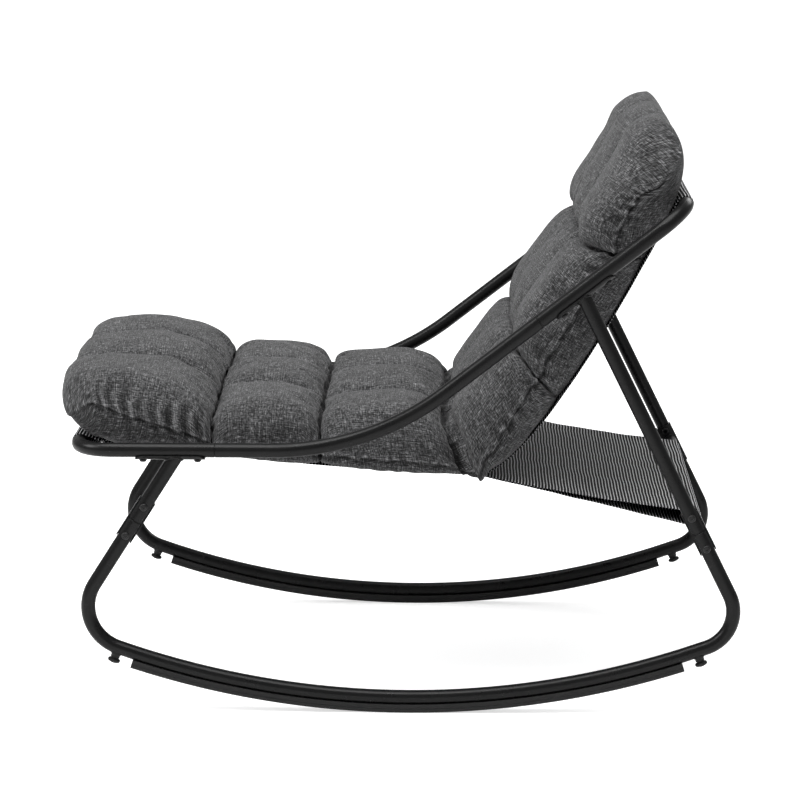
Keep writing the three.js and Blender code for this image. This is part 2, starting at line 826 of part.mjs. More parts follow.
// Back sling: stitched to the seat at the fold, then up and round the top bar
function backSling() {
  const lapShare = sleeveLap / backLine.getLength();
  const lap = beside(backLine, 1 - 0.7 * lapShare, -layerGap);
  const lapEnd = beside(backLine, 1 - lapShare, -layerGap);
  const foot = beside(seatLine, 1 - lapShare / 4, layerGap);
  return band([
    foot,
    beside(seatLine, 1, layerGap),
    ...backLine.getPoints(slingSteps).slice(1),
    ...wrap(topBar2, backTouch, touchAngle(topBar2, lap, 1)).slice(1),
    lapEnd,
  ]);
}

addPiece('seat_sling', seatSling(), slingFinish);
addPiece('back_sling', backSling(), slingFinish);

// Point and tangent at a share of a many-sided line's length
function along(line, share) {
  const lengths = line.slice(1).map((point, k) => point.distanceTo(line[k]));
  let left = share * lengths.reduce((sum, length) => sum + length, 0);
  let k = 0;
  while (k < lengths.length - 1 && left > lengths[k]) {
    left -= lengths[k];
    k += 1;
  }
  const tangent = line[k + 1].clone().sub(line[k]).normalize();
  return { point: line[k].clone().addScaledVector(tangent, left), tangent };
}

function above(line, share, gap) {
  const { point, tangent } = along(line, share);
  return point.add(new THREE.Vector2(-tangent.y, tangent.x).multiplyScalar(gap));
}

// Lines the cushion lies on: the slings as built, its free front lip and its free head
const seatRest = seatLine.getPoints(slingSteps);
const backRest = backLine.getPoints(slingSteps);
const restGap = slingThickness / 2 + clearance;
const lipEnd = above(seatRest, cushionRunShares[2].shares[0], restGap);
const headFoot = above(backRest, cushionRunShares[7].shares[1], restGap);
const lipTip = frontBar2.clone().add(new THREE.Vector2(-lipOverhang, lipRise));
const lipPull = frontBar2.clone().add(new THREE.Vector2(-lipPullOverhang, lipPullRise));
const headTip = topBar2.clone().add(new THREE.Vector2(-headSetBack, headRise));
const headPull = topBar2.clone().add(new THREE.Vector2(headPullSetBack, headPullRise));
const restLines = {
  lip: new THREE.QuadraticBezierCurve(lipTip, lipPull, lipEnd).getPoints(slingSteps),
  seat: seatRest,
  back: backRest,
  head: new THREE.QuadraticBezierCurve(headFoot, headPull, headTip).getPoints(slingSteps),
};

function restPoint(row) {
  const run = cushionRunShares.find(({ to }) => row <= to);
  const share = (row - run.from) / (run.to - run.from);
  const place = run.shares[0] + (run.shares[1] - run.shares[0]) * share;
  const free = run.line === 'lip' || run.line === 'head';
  const nearFold = Math.abs(row - 3) < 1 / columnSteps;
  const gap = restGap + (nearFold ? layerGap : 0);
  return above(restLines[run.line], place, free ? 0 : gap);
}

function ribDirection(row) {
  const next = ribAngles.findIndex(([stop]) => row <= stop);
  const [endRow, endAngle] = ribAngles[Math.max(next, 1)];
  const [startRow, startAngle] = ribAngles[Math.max(next, 1) - 1];
  const share = (row - startRow) / (endRow - startRow);
  return direction(startAngle + (endAngle - startAngle) * share);
}

// A pillow's rise between two grooves: none at either one, full between them
function puff(share) {
  return Math.sqrt(Math.max(0, 1 - Math.abs(2 * share - 1) ** pillowFullShare));
}

function columnRise(y) {
  const column = ((y / cushionHalfWidth + 1) * columnCount) / 2;
  const place = Math.min(Math.max(column, 0.5), columnCount - 0.5);
  return 1 - columnGrooveShare * (1 - puff(place % 1));
}

// Places across the top, closer together beside the grooves between columns
function topPlaces(flat) {
  const groove = cushionHalfWidth / columnCount;
  const places = [];
  for (let k = 1; k < columnSteps - 1; k += 1) {
    places.push(flat + (groove - flat) * Math.sin((Math.PI * k) / (2 * (columnSteps - 2))));
  }
  const outer = [flat, ...places];
  for (let k = 0; k <= columnSteps; k += 1) {
    places.push(groove * Math.cos((Math.PI * k) / columnSteps));
  }
  const inner = places.slice(columnSteps - 2);
  return [...outer.slice(0, -1), ...inner, ...outer.slice(0, -1).reverse().map((y) => -y)];
}

// One ring of the cushion: points across (y) and through its thickness (t)
function cushionRing(row) {
  const index = Math.min(Math.floor(row), grooveShares.length - 2);
  const share = row - index;
  const fromEnd = Math.min(row, grooveShares.length - 1 - row) / endTaperShare;
  const taper = Math.min(1, fromEnd) ** endTaperRiseShare;
  const groove = grooveShares[index] + (grooveShares[index + 1] - grooveShares[index]) * share;
  const rise = bulgeShares[index] * puff(share ** bulgeSkewShares[index]) * taper;
  const thickness = cushionThickness * (groove + rise);
  const tuck = cushionHalfWidth * cornerTuckShare * (1 - taper);
  const half = cushionHalfWidth - sideDraw * (1 - puff(share)) - tuck;
  const seam = thickness * seamHeightShare;
  const flat = half - sideRound;
  const under = half - undersideRound;
  const right = [];
  for (let k = 1; k <= sideSteps; k += 1) {
    const angle = (Math.PI / 2) * (k / sideSteps);
    right.push([under + undersideRound * Math.sin(angle), seam * (1 - Math.cos(angle))]);
  }
  for (let k = 1; k < sideSteps; k += 1) {
    const angle = (Math.PI / 2) * (k / sideSteps);
    right.push([flat + sideRound * Math.cos(angle), seam + (thickness - seam) * Math.sin(angle)]);
  }
  const bottom = [];
  for (let k = 0; k <= bottomSteps; k += 1) {
    bottom.push([under * ((2 * k) / bottomSteps - 1), 0]);
  }
  const top = topPlaces(flat).map((y) => [y, thickness * columnRise(y)]);
  const left = right.map(([y, t]) => [-y, t]).reverse();
  return [...bottom, ...right, ...top, ...left];
}

// Rings from the front lip to the head, joined into one closed skin
function cushion() {
  const positions = [];
  const faces = [];
  const rowTotal = grooveShares.length - 1;
  let size = 0;
  let rings = 0;
  for (let row = 0; row < rowTotal; row += 1) {
    for (let k = row === 0 ? 0 : 1; k <= rowSteps; k += 1) {
      const place = row + (1 - Math.cos((Math.PI * k) / rowSteps)) / 2;
      const rest = restPoint(place);
      const rib = ribDirection(place);
      const points = cushionRing(place);
      size = points.length;
      points.forEach(([y, t]) => positions.push(rest.x + rib.x * t, y, rest.y + rib.z * t));
      rings += 1;
    }
  }
  for (let ringIndex = 0; ringIndex < rings - 1; ringIndex += 1) {
    for (let k = 0; k < size; k += 1) {
      const here = ringIndex * size + k;
      const beyond = ringIndex * size + ((k + 1) % size);
      faces.push(here, beyond, here + size, beyond, beyond + size, here + size);
    }
  }
  const last = (rings - 1) * size;
  for (let k = 1; k < size - 1; k += 1) {
    faces.push(0, k + 1, k, last, last + k, last + k + 1);
  }
  const geometry = new THREE.BufferGeometry();
  geometry.setAttribute('position', new THREE.Float32BufferAttribute(positions, 3));
  geometry.setIndex(faces);
  geometry.computeVertexNormals();
  return geometry;
}

addPiece('lounge_cushion', cushion(), cushionFinish);

// The origin is under the middle of the whole object, at the floor
object.updateMatrixWorld(true);
const bounds = new THREE.Box3().setFromObject(object, true);
const shift = new THREE.Vector3(-(bounds.min.x + bounds.max.x) / 2, 0, -bounds.min.z);
for (const child of object.children) {
  child.position.add(shift);
}

export default object;
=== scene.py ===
"""Rocking chaise lounge: smooth frame tubes, woven slings and a tufted cushion around the CAD frame."""
import math

import bpy
import bmesh
import numpy as np
from mathutils import Matrix, Vector


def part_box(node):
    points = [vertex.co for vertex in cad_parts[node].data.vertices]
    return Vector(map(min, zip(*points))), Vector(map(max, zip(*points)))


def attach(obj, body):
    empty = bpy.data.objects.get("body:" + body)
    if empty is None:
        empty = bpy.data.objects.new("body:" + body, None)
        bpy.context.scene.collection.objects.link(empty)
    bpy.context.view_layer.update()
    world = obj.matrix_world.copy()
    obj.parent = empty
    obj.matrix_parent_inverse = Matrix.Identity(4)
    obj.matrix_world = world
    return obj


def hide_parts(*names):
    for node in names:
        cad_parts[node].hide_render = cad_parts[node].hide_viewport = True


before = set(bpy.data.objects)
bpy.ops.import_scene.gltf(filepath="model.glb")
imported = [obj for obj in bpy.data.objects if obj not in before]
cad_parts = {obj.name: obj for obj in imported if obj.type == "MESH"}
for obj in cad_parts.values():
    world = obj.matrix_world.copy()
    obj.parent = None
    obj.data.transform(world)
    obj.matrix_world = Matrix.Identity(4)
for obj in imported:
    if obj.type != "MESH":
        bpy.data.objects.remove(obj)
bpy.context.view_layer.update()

# Sizes in millimetres and degrees, the same as in the part's source
TUBE = 11.0
WALL = 1.2
GAP = 0.3
RAIL_Y = 318.0
RAIL_Z = 410.0
ARM_X = -56.0
ARM_SLOPE = 37.8
ARM_BEND = 430.0
FRONT_BAR_X = -501.0
FRONT_SEAM_X = -288.0
UPPER_SEAM_UP_ARM = 326.0
TOP_BAR_UP_ARM = 604.0
CORNER = 55.0

ROCKER_R = 1345.0
ROCKER_X = 3.0
PAD_ANGLE = 18.42
PAD_DEPTH = 12.0
FLATS = 17
FRONT_BEND = 68.0
REAR_BEND = 60.0
FRONT_BEND_ANGLE = 19.6
REAR_BEND_ANGLE = 20.3
FRONT_LEG = 129.4
FRONT_LEG_PAST = 14.7
REAR_LEG = 413.5
STOPPER_ANGLE = 19.6

SADDLE_LONG = 106.0
SADDLE_THICK = 3.0
SADDLE_WRAP = 55.0
SADDLE_IN = (TUBE + GAP) / math.cos(math.pi / 24)
SADDLE_OUT = SADDLE_IN + SADDLE_THICK
BOLT_PITCH = 83.0
FRONT_SADDLE = 68.0
REAR_SADDLE = 77.0
CHANNEL_LONG = 70.0
CHANNEL_THICK = 2.0
CHANNEL_DEEP = 12.0
SCREW_PITCH = 53.0
CROSSBAR_UP = 7.0
BAR_REACH = RAIL_Y - TUBE - GAP - CHANNEL_THICK / 2

SLING_HALF = 258.0
SLING_THICK = 1.2

# Details that only the scene draws, in millimetres, and the steps of its round stretches
EDGE = 0.5
COLLAR_LONG = 8.0
LEG_WELD = 1.9
BAR_WELD = 1.8
CORNER_STEPS = 18
ARM_STEPS = 36
BEND_STEPS = 28
ARC_STEPS = FLATS * 4
JOINT_SIDES = 60
PAD_LIP = TUBE - 1.5
CHANNEL_FOLD = 3.2
BOSS = [(8.5, 6), (8.5, 9.8), (8.1, 11.2), (7.2, 12.3), (7, 13), (7, 16), (6.6, 16.5), (4.2, 16.5),
        (3.4, 15.9), (3.4, 12)]
FOOT = [(0.01, 0.5), (3, 0.5), (3, 17.5), (5.2, 17.5), (5.7, 17.9), (6.6, 18.9), (8.9, 19.5), (9.5, 20.1),
        (9.5, 22.1), (9.1, 22.9), (6.6, 24), (5.5, 24.5), (0.01, 24.5)]
NUT = [(3.3, 0), (4.7, 0), (5.03, 0.45), (5.03, 4.55), (4.7, 5), (3.3, 5)]
HEAD_HEIGHT = 3.3
SHANK = 3.0

MM = 0.001
lo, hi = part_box("front_frame_tube")
SHIFT = Vector((hi.x - (FRONT_SEAM_X - GAP) * MM, 0, (lo.z + hi.z) / 2 - RAIL_Z * MM))
X_AXIS, Y_AXIS, Z_AXIS = Vector((1, 0, 0)), Vector((0, 1, 0)), Vector((0, 0, 1))

rad = math.radians


# Mesh helpers
def vec(x, z):
    """A point or direction in the side plane."""
    return Vector((x, 0, z))


def lean(angle):
    """A direction in the side plane, in degrees up from +X."""
    return vec(math.cos(rad(angle)), math.sin(rad(angle)))


def add_mesh(name, verts, faces, material, slot, smooth=32.0):
    """A piece from points in millimetres, in the frame of part.mjs before its origin shift."""
    mesh = bpy.data.meshes.new(name)
    mesh.from_pydata([Vector(v) * MM + SHIFT for v in verts], [], faces)
    mesh.validate()
    mesh.update()
    obj = bpy.data.objects.new(name, mesh)
    bpy.context.collection.objects.link(obj)
    mesh.materials.append(material)
    mesh.polygons.foreach_set("use_smooth", [True] * len(mesh.polygons))
    mesh.set_sharp_from_angle(angle=rad(smooth))
    return obj


class Shape:
    """Points and faces of the closed shells of one piece."""

    def __init__(self, verts, faces):
        self.verts = [Vector(v) for v in verts]
        self.faces = list(faces)

    def join(self, other):
        base = len(self.verts)
        self.verts += other.verts
        self.faces += [tuple(i + base for i in face) for face in other.faces]
        return self

    def moved(self, matrix):
        return Shape([matrix @ v for v in self.verts], self.faces)


def skin(rings, closed_path=False):
    """A shell over rings of equal length, each counter-clockwise as seen against the path."""
    n, count = len(rings[0]), len(rings)
    faces = []
    for i in range(count if closed_path else count - 1):
        a, b = i * n, ((i + 1) % count) * n
        for k in range(n):
            j = (k + 1) % n
            faces.append((a + k, a + j, b + j, b + k))
    if not closed_path:
        faces.append(tuple(reversed(range(n))))
        faces.append(tuple(range((count - 1) * n, count * n)))
    return Shape([p for ring in rings for p in ring], faces)


def slab(outer, inner):
    """A shell between two grids of points that lie side by side."""
    rows, cols = len(outer), len(outer[0])
    over = rows * cols
    faces = []
    for i in range(rows - 1):
        for j in range(cols - 1):
            a = i * cols + j
            face = (a, a + cols, a + cols + 1, a + 1)
            faces += [face[::-1], tuple(k + over for k in face)]
        for a, way in ((i * cols, 1), ((i + 1) * cols - 1, -1)):
            faces.append((a, a + cols, a + cols + over, a + over)[::way])
    for j in range(cols - 1):
        for a, way in ((j, 1), ((rows - 1) * cols + j, -1)):
            faces.append((a, a + over, a + 1 + over, a + 1)[::way])
    return Shape([p for grid in (outer, inner) for row in grid for p in row], faces)


def ring_of(centre, first, second, radius, sides):
    """Points round a centre, from the first direction towards the second."""
    turns = (2 * math.pi * k / sides for k in range(sides))
    return [centre + (first * math.cos(a) + second * math.sin(a)) * radius for a in turns]


def lathe(profile, sides=40, hexes=()):
    """A profile of (radius, height) about Z. Rows named in hexes are hexagons of that inner radius."""
    rings = []
    for row, (radius, height) in enumerate(profile):
        ring = []
        for a in (2 * math.pi * k / sides for k in range(sides)):
            r = radius
            if row in hexes:
                r = radius / math.cos((a + math.pi / 6) % (math.pi / 3) - math.pi / 6)
            ring.append(Vector((r * math.cos(a), r * math.sin(a), height)))
        rings.append(ring)
    return skin(rings)


def along_z(shape, point, direction, roll=0.0):
    """Turns a shape made on the Z axis onto a direction from a point."""
    turn = Z_AXIS.rotation_difference(direction.normalized()).to_matrix().to_4x4()
    return shape.moved(Matrix.Translation(point) @ turn @ Matrix.Rotation(roll, 4, "Z"))


def bent(corners, radius, steps):
    """Stations of a line through corner points with a round bend at each inner corner."""
    stations = [(corners[0], (corners[1] - corners[0]).normalized())]
    for i in range(1, len(corners) - 1):
        before = (corners[i] - corners[i - 1]).normalized()
        after = (corners[i + 1] - corners[i]).normalized()
        turn = before.angle(after)
        axis = before.cross(after).normalized()
        start = corners[i] - before * radius * math.tan(turn / 2)
        inward = axis.cross(before)
        centre = start + inward * radius
        for k in range(steps + 1):
            spoke = Matrix.Rotation(turn * k / steps, 3, axis) @ -inward
            stations.append((centre + spoke * radius, axis.cross(spoke).normalized()))
    stations.append((corners[-1], (corners[-1] - corners[-2]).normalized()))
    return stations


def arc(centre, radius, start, end, steps):
    """Stations of an arc in the side plane; angles are from straight down, towards +X."""
    stations = []
    for k in range(steps + 1):
        a = rad(start + (end - start) * k / steps)
        spoke = vec(radius * math.sin(a), -radius * math.cos(a))
        stations.append((centre + spoke, vec(math.cos(a), math.sin(a))))
    return stations


# Places
ALONG_RAIL = X_AXIS
ALONG_ARM = lean(ARM_SLOPE)
ARM_ROOT = vec(ARM_X, RAIL_Z)
FRONT_SEAM_AT = vec(FRONT_SEAM_X, RAIL_Z)
UPPER_SEAM_AT = ARM_ROOT + ALONG_ARM * UPPER_SEAM_UP_ARM
FRONT_BAR_AT = vec(FRONT_BAR_X, RAIL_Z)
TOP_BAR_AT = ARM_ROOT + ALONG_ARM * TOP_BAR_UP_ARM
ROCKER_AT = vec(ROCKER_X, ROCKER_R)
ROCKER_TUBE_R = ROCKER_R - TUBE - PAD_DEPTH


def rise_of(along):
    """The direction square to a rail in the side plane, upwards."""
    return Matrix.Rotation(-math.pi / 2, 3, "Y") @ along


def leg_places(name, end, bend_angle, bend, saddle, along, past, length):
    """A leg's line touches its rocker bend and aims at the rail by its saddle."""
    arc_angle = end * bend_angle
    centre = ROCKER_AT + lean(arc_angle - 90) * (ROCKER_TUBE_R - bend)
    aim = saddle + along * past
    reach = aim - centre
    angle = math.degrees(math.atan2(reach.z, reach.x) + end * math.asin(bend / reach.length))
    return dict(name=name, saddle=saddle, along=along, bend=bend, centre=centre, arc=arc_angle,
                up=lean(angle), joint=aim - lean(angle) * length, path=angle + (end - 1) * 90)


LEGS = (
    leg_places("front", -1, FRONT_BEND_ANGLE, FRONT_BEND, FRONT_SEAM_AT - ALONG_RAIL * FRONT_SADDLE,
               ALONG_RAIL, FRONT_LEG_PAST, FRONT_LEG),
    leg_places("rear", 1, REAR_BEND_ANGLE, REAR_BEND, UPPER_SEAM_AT + ALONG_ARM * REAR_SADDLE,
               ALONG_ARM, 0, REAR_LEG),
)
CROSSBAR_AT = LEGS[1]["joint"] + LEGS[1]["up"] * CROSSBAR_UP


# Materials
class Nodes:
    """A short way to build the nodes of a material or a world."""

    def __init__(self, owner):
        self.owner = owner
        owner.use_nodes = True
        self.tree = owner.node_tree
        self.shader = self.tree.nodes.get("Principled BSDF")

    def add(self, kind, inputs=None, **settings):
        node = self.tree.nodes.new("ShaderNode" + kind)
        for key, value in settings.items():
            setattr(node, key, value)
        for key, value in (inputs or {}).items():
            self.put(node.inputs[key], value)
        return node

    def put(self, socket, value):
        if isinstance(value, bpy.types.NodeSocket):
            self.tree.links.new(value, socket)
        elif isinstance(value, bpy.types.Node):
            self.tree.links.new(value.outputs[0], socket)
        else:
            socket.default_value = value

    def math(self, operation, *values):
        return self.add("Math", dict(enumerate(values)), operation=operation).outputs[0]

    def plus(self, a, b):
        return self.math("ADD", a, b)

    def minus(self, a, b):
        return self.math("SUBTRACT", a, b)

    def times(self, a, b):
        return self.math("MULTIPLY", a, b)

    def cycle(self, value, length):
        """How far a value lies in its repeat, from 0 to 1."""
        return self.math("FRACT", self.math("DIVIDE", value, length))

    def sine(self, value, turns):
        return self.math("SINE", self.times(value, 2 * math.pi * turns))

    def noise(self, vector, scale, detail=2.0, rough=0.5):
        inputs = {"Vector": vector, "Scale": scale, "Detail": detail, "Roughness": rough}
        return self.add("TexNoise", inputs).outputs[0]

    def threads(self, cloth, across, along, detail, rough=0.5):
        """Noise on the cloth with its own scale in each direction."""
        place = self.add("VectorMath", {0: cloth, 1: (across, along, 0)}, operation="MULTIPLY")
        return self.noise(place, 1.0, detail, rough)

    def ramp(self, value, stops):
        """A grey for each value, between stops of (value, grey)."""
        node = self.add("ValToRGB", {"Fac": value})
        elements = node.color_ramp.elements
        for element, (position, tone) in zip(elements, (stops[0], stops[-1])):
            element.position, element.color = position, grey(tone)
        for position, tone in stops[1:-1]:
            elements.new(position).color = grey(tone)
        return node.outputs[0]

    def span(self, value, low, high, to_low, to_high, **settings):
        inputs = {"Value": value, "From Min": low, "From Max": high, "To Min": to_low, "To Max": to_high}
        return self.add("MapRange", inputs, **settings).outputs[0]

    def bump(self, height, distance, strength):
        return self.add("Bump", {"Height": height, "Distance": distance, "Strength": strength}).outputs[0]

    def set(self, **inputs):
        for key, value in inputs.items():
            self.put(self.shader.inputs[key.replace("_", " ")], value)
        return self.owner

    def surface(self, output, shader):
        self.put(self.tree.nodes[output].inputs["Surface"], shader)


def new_material(name):
    m = Nodes(bpy.data.materials.new(name))
    return m, m.add("TexCoord").outputs["Object"]


def new_cloth(name):
    """A material with the place on the cloth in metres: as a vector, across it and along it."""
    m = Nodes(bpy.data.materials.new(name))
    cloth = m.add("Attribute", attribute_name="cloth").outputs["Vector"]
    split = m.add("SeparateXYZ", {"Vector": cloth}).outputs
    return m, cloth, split["X"], split["Y"]


def grey(tone):
    return (tone, tone, tone * 1.02, 1)


def powder_coat():
    m, place = new_material("powder_coat")
    grain = m.noise(place, 1400, 2)
    cloud = m.noise(place, 14, 3)
    wear = m.noise(place, 60, 4, 0.65)
    rough = m.plus(m.span(wear, 0.35, 0.7, 0.27, 0.33), m.span(grain, 0.3, 0.7, -0.015, 0.015))
    return m.set(Base_Color=m.ramp(cloud, [(0.3, 0.0045), (0.7, 0.0065)]), Roughness=rough,
                 Normal=m.bump(grain, 0.00003, 0.3), Specular_IOR_Level=0.24)


def black_steel():
    m, place = new_material("black_steel")
    grain = m.noise(place, 900, 3)
    smear = m.noise(place, 120, 3)
    return m.set(Base_Color=m.ramp(smear, [(0.3, 0.007), (0.75, 0.013)]), Metallic=0.2,
                 Roughness=m.span(smear, 0.3, 0.7, 0.26, 0.4), Normal=m.bump(grain, 0.00004, 0.6))


def rubber():
    m, place = new_material("pad_rubber")
    grain = m.noise(place, 700, 3)
    scuff = m.noise(place, 45, 4, 0.7)
    return m.set(Base_Color=m.ramp(scuff, [(0.35, 0.006), (0.7, 0.012)]),
                 Roughness=m.span(scuff, 0.3, 0.7, 0.62, 0.82), Normal=m.bump(grain, 0.00015, 0.7))


def stripe_cloth():
    """Black weave with thin light lines across it, five millimetres apart."""
    m, cloth, x, y = new_cloth("stripe_cloth")
    shift = m.times(m.minus(m.threads(cloth, 16, 3, 1.0), 0.5), 0.004)
    cycle = m.cycle(m.plus(y, shift), 0.005)
    line = m.span(m.math("ABSOLUTE", m.minus(cycle, 0.5)), 0.12, 0.16, 1, 0)
    thread = m.math("ABSOLUTE", m.minus(m.cycle(x, 0.0012), 0.5))
    speck = m.threads(cloth, 700, 500, 2)
    pale = m.times(line, m.span(speck, 0.3, 0.6, 0.6, 1))
    height = m.plus(m.times(m.sine(cycle, 2), 0.5), m.times(thread, -0.8))
    return m.set(Base_Color=m.ramp(pale, [(0.0, 0.002), (0.5, 0.16), (1.0, 0.85)]),
                 Roughness=m.span(pale, 0, 1, 0.65, 0.5), Normal=m.bump(height, 0.0004, 0.6),
                 Specular_IOR_Level=0.1)


def linen_cloth():
    """Dark grey linen look: crossed threads of uneven thickness and lightness, with painted shade in the
    cushion's folds and painted highlight on their ridges.
    """
    m, cloth, x, y = new_cloth("linen_cloth")
    pitch = 0.0016
    tone = 0.5
    for across, along, detail, weight in (
            (820, 150, 1.5, 0.8), (150, 820, 1.5, 0.8), (540, 50, 1, 0.45), (50, 540, 1, 0.45),
            (480, 22, 1, 0.35), (22, 480, 1, 0.3), (950, 950, 1, 0.25), (9, 9, 3, 0.12)):
        value = m.threads(cloth, across, along, detail, 0.55)
        tone = m.plus(m.times(m.minus(value, 0.5), weight), tone)
    # Painted shade and highlight from the fold attribute: darker in creases, grooves, seams and dimples,
    # lighter on ridges and raised edges
    fold = m.add("Attribute", attribute_name="fold").outputs["Fac"]
    tone = m.minus(tone, m.times(fold, 0.36))
    colour = m.ramp(tone, [(0.15, 0.005), (0.4, 0.025), (0.55, 0.063), (0.72, 0.142), (0.9, 0.31)])
    weave = m.times(m.sine(x, 1 / pitch), m.sine(y, 1 / pitch))
    height = m.plus(m.times(weave, 0.3), m.times(tone, 1.3))
    return m.set(Base_Color=colour, Roughness=0.92, Normal=m.bump(height, 0.0005, 0.4),
                 Specular_IOR_Level=0.12, Sheen_Weight=0.12, Sheen_Roughness=0.5)


PAINTED = (powder_coat(), "frame_paint")
BLACKENED = (black_steel(), "black_steel")
MOULDED = (rubber(), "rubber")
WOVEN = (stripe_cloth(), "sling_mesh")
COVERED = (linen_cloth(), "cushion_cloth")


# Frame
def tube(stations, side=Y_AXIS, radius=TUBE, sides=48):
    """A tube whose ends have a small round edge."""
    (first, start_way), (last, end_way) = stations[0], stations[-1]
    places = [(first, start_way, radius - EDGE), (first + start_way * EDGE, start_way, radius),
              *[(point, direction, radius) for point, direction in stations[1:-1]],
              (last - end_way * EDGE, end_way, radius), (last, end_way, radius - EDGE)]
    return skin([ring_of(point, side, direction.cross(side).normalized(), r, sides)
                 for point, direction, r in places])


def hoop(seam, bar):
    """A flat U tube from one rail round the bar to the other rail."""
    along = (bar - seam).normalized()
    end = seam + along * GAP
    out = Y_AXIS * RAIL_Y
    corners = [end - out, bar - out, bar + out, end + out]
    return tube(bent(corners, CORNER, CORNER_STEPS), along.cross(Y_AXIS).normalized())


def collar(seam, along):
    """The swaged plug that shows in the seam between two tubes."""
    half = along * COLLAR_LONG / 2
    return tube([(seam - half, along), (seam + half, along)], radius=TUBE - WALL)


def weld(points, normals, radius):
    """A weld bead on a closed row of points, with small ripples."""
    count = len(points)
    ripples = round(count / 5)
    rings = []
    for i, (point, normal) in enumerate(zip(points, normals)):
        direction = (points[(i + 1) % count] - points[i - 1]).normalized()
        across = direction.cross(normal).normalized()
        swell = 1 + 0.12 * math.sin(i * 2 * math.pi * ripples / count)
        rings.append(ring_of(point, across, direction.cross(across), radius * swell, 10))
    return skin(rings, closed_path=True)


def met(point, up, bar_at, bar_along, bar_radius):
    """Where a line up from a point runs into a round bar."""
    rel = point - bar_at
    rel -= bar_along * rel.dot(bar_along)
    step = up - bar_along * up.dot(bar_along)
    qa, qb, qc = step.dot(step), 2 * rel.dot(step), rel.dot(rel) - bar_radius ** 2
    return point + up * ((-qb - math.sqrt(max(qb * qb - 4 * qa * qc, 0))) / (2 * qa))


def saddle_plate(leg):
    """A curved plate under the rail, with rounded ends."""
    along, rise = leg["along"], rise_of(leg["along"])
    rows, cols, corner = 48, 20, 13.0
    sheets = []
    for r in (SADDLE_OUT, SADDLE_IN):
        grid = []
        for i in range(rows + 1):
            x = -math.cos(math.pi * i / rows) * SADDLE_LONG / 2
            from_end = SADDLE_LONG / 2 - abs(x)
            fall = 0.0 if from_end >= corner else 1 - math.sqrt(max(0, 1 - (1 - from_end / corner) ** 2))
            wrap = rad(SADDLE_WRAP) * (1 - 0.55 * fall)
            turns = (wrap * (2 * j / cols - 1) for j in range(cols + 1))
            grid.append([leg["saddle"] + along * x - rise * r * math.cos(a) + Y_AXIS * r * math.sin(a)
                         for a in turns])
        sheets.append(grid)
    return slab(*sheets)


def leg_shape(leg):
    """A leg from its joint up to its saddle plate, with the weld between them."""
    up, rise = leg["up"], rise_of(leg["along"])
    start = leg["joint"] + up * GAP
    front = up.cross(Y_AXIS).normalized()
    side = up.cross(front).normalized()
    meet = [met(point, up, leg["saddle"], leg["along"], SADDLE_OUT)
            for point in ring_of(start, front, side, TUBE, JOINT_SIDES)]
    rings = [ring_of(start, front, side, TUBE - EDGE, JOINT_SIDES),
             ring_of(start + up * EDGE, front, side, TUBE, JOINT_SIDES),
             [point + up * 1.2 for point in meet]]
    normals = []
    for point in meet:
        inside = leg["joint"] + up * (point - leg["joint"]).dot(up)
        normals.append(((point - inside).normalized() - rise).normalized())
    return skin(rings).join(saddle_plate(leg)).join(weld(meet, normals, LEG_WELD))


def channel_section():
    """Outline of the folded channel: (across, depth), web at the deep end, with round folds."""
    outer = TUBE + GAP + CHANNEL_THICK
    inner = outer - CHANNEL_THICK
    tip = TUBE + GAP - CHANNEL_DEEP

    def fold(radius, face, side, start, end, steps):
        centre_x, centre_y = side * (face - radius), face - radius
        angles = (math.pi * (start + (end - start) * k / steps) for k in range(steps + 1))
        return [(centre_x + radius * math.cos(a), centre_y + radius * math.sin(a)) for a in angles]

    return [(-outer, tip), (-inner, tip), *fold(CHANNEL_FOLD - CHANNEL_THICK, inner, -1, 1, 0.5, 4),
            *fold(CHANNEL_FOLD - CHANNEL_THICK, inner, 1, 0.5, 0, 4), (inner, tip), (outer, tip),
            *fold(CHANNEL_FOLD, outer, 1, 0, 0.5, 5), *fold(CHANNEL_FOLD, outer, -1, 0.5, 1, 5)]


def channel_shape(leg, side):
    """The channel of one leg, its web towards the middle of the chair."""
    web = Y_AXIS * -side
    across = web.cross(leg["up"])
    centre = leg["joint"] + Y_AXIS * side * RAIL_Y
    return skin([[centre + across * a + web * b + leg["up"] * z for a, b in channel_section()]
                 for z in (-CHANNEL_LONG / 2, CHANNEL_LONG / 2)])


def rocker_stations():
    front, rear = LEGS
    return [(front["joint"] - front["up"] * GAP, -front["up"]),
            *arc(front["centre"], front["bend"], front["path"], front["arc"], BEND_STEPS),
            *arc(ROCKER_AT, ROCKER_TUBE_R, -PAD_ANGLE, PAD_ANGLE, ARC_STEPS),
            *arc(rear["centre"], rear["bend"], rear["arc"], rear["path"], BEND_STEPS),
            (rear["joint"] - rear["up"] * GAP, rear["up"])]


def stopper_at(end):
    """Where a stopper's stud leaves the middle of the rocker tube, and its direction."""
    angle = -STOPPER_ANGLE if end == "front" else STOPPER_ANGLE
    point, _ = arc(ROCKER_AT, ROCKER_TUBE_R, angle, angle, 1)[0]
    return point, (point - ROCKER_AT).normalized()


def rocker_shape():
    shape = tube(rocker_stations())
    for end in ("front", "rear"):
        shape.join(along_z(lathe(BOSS), *stopper_at(end)))
    return shape


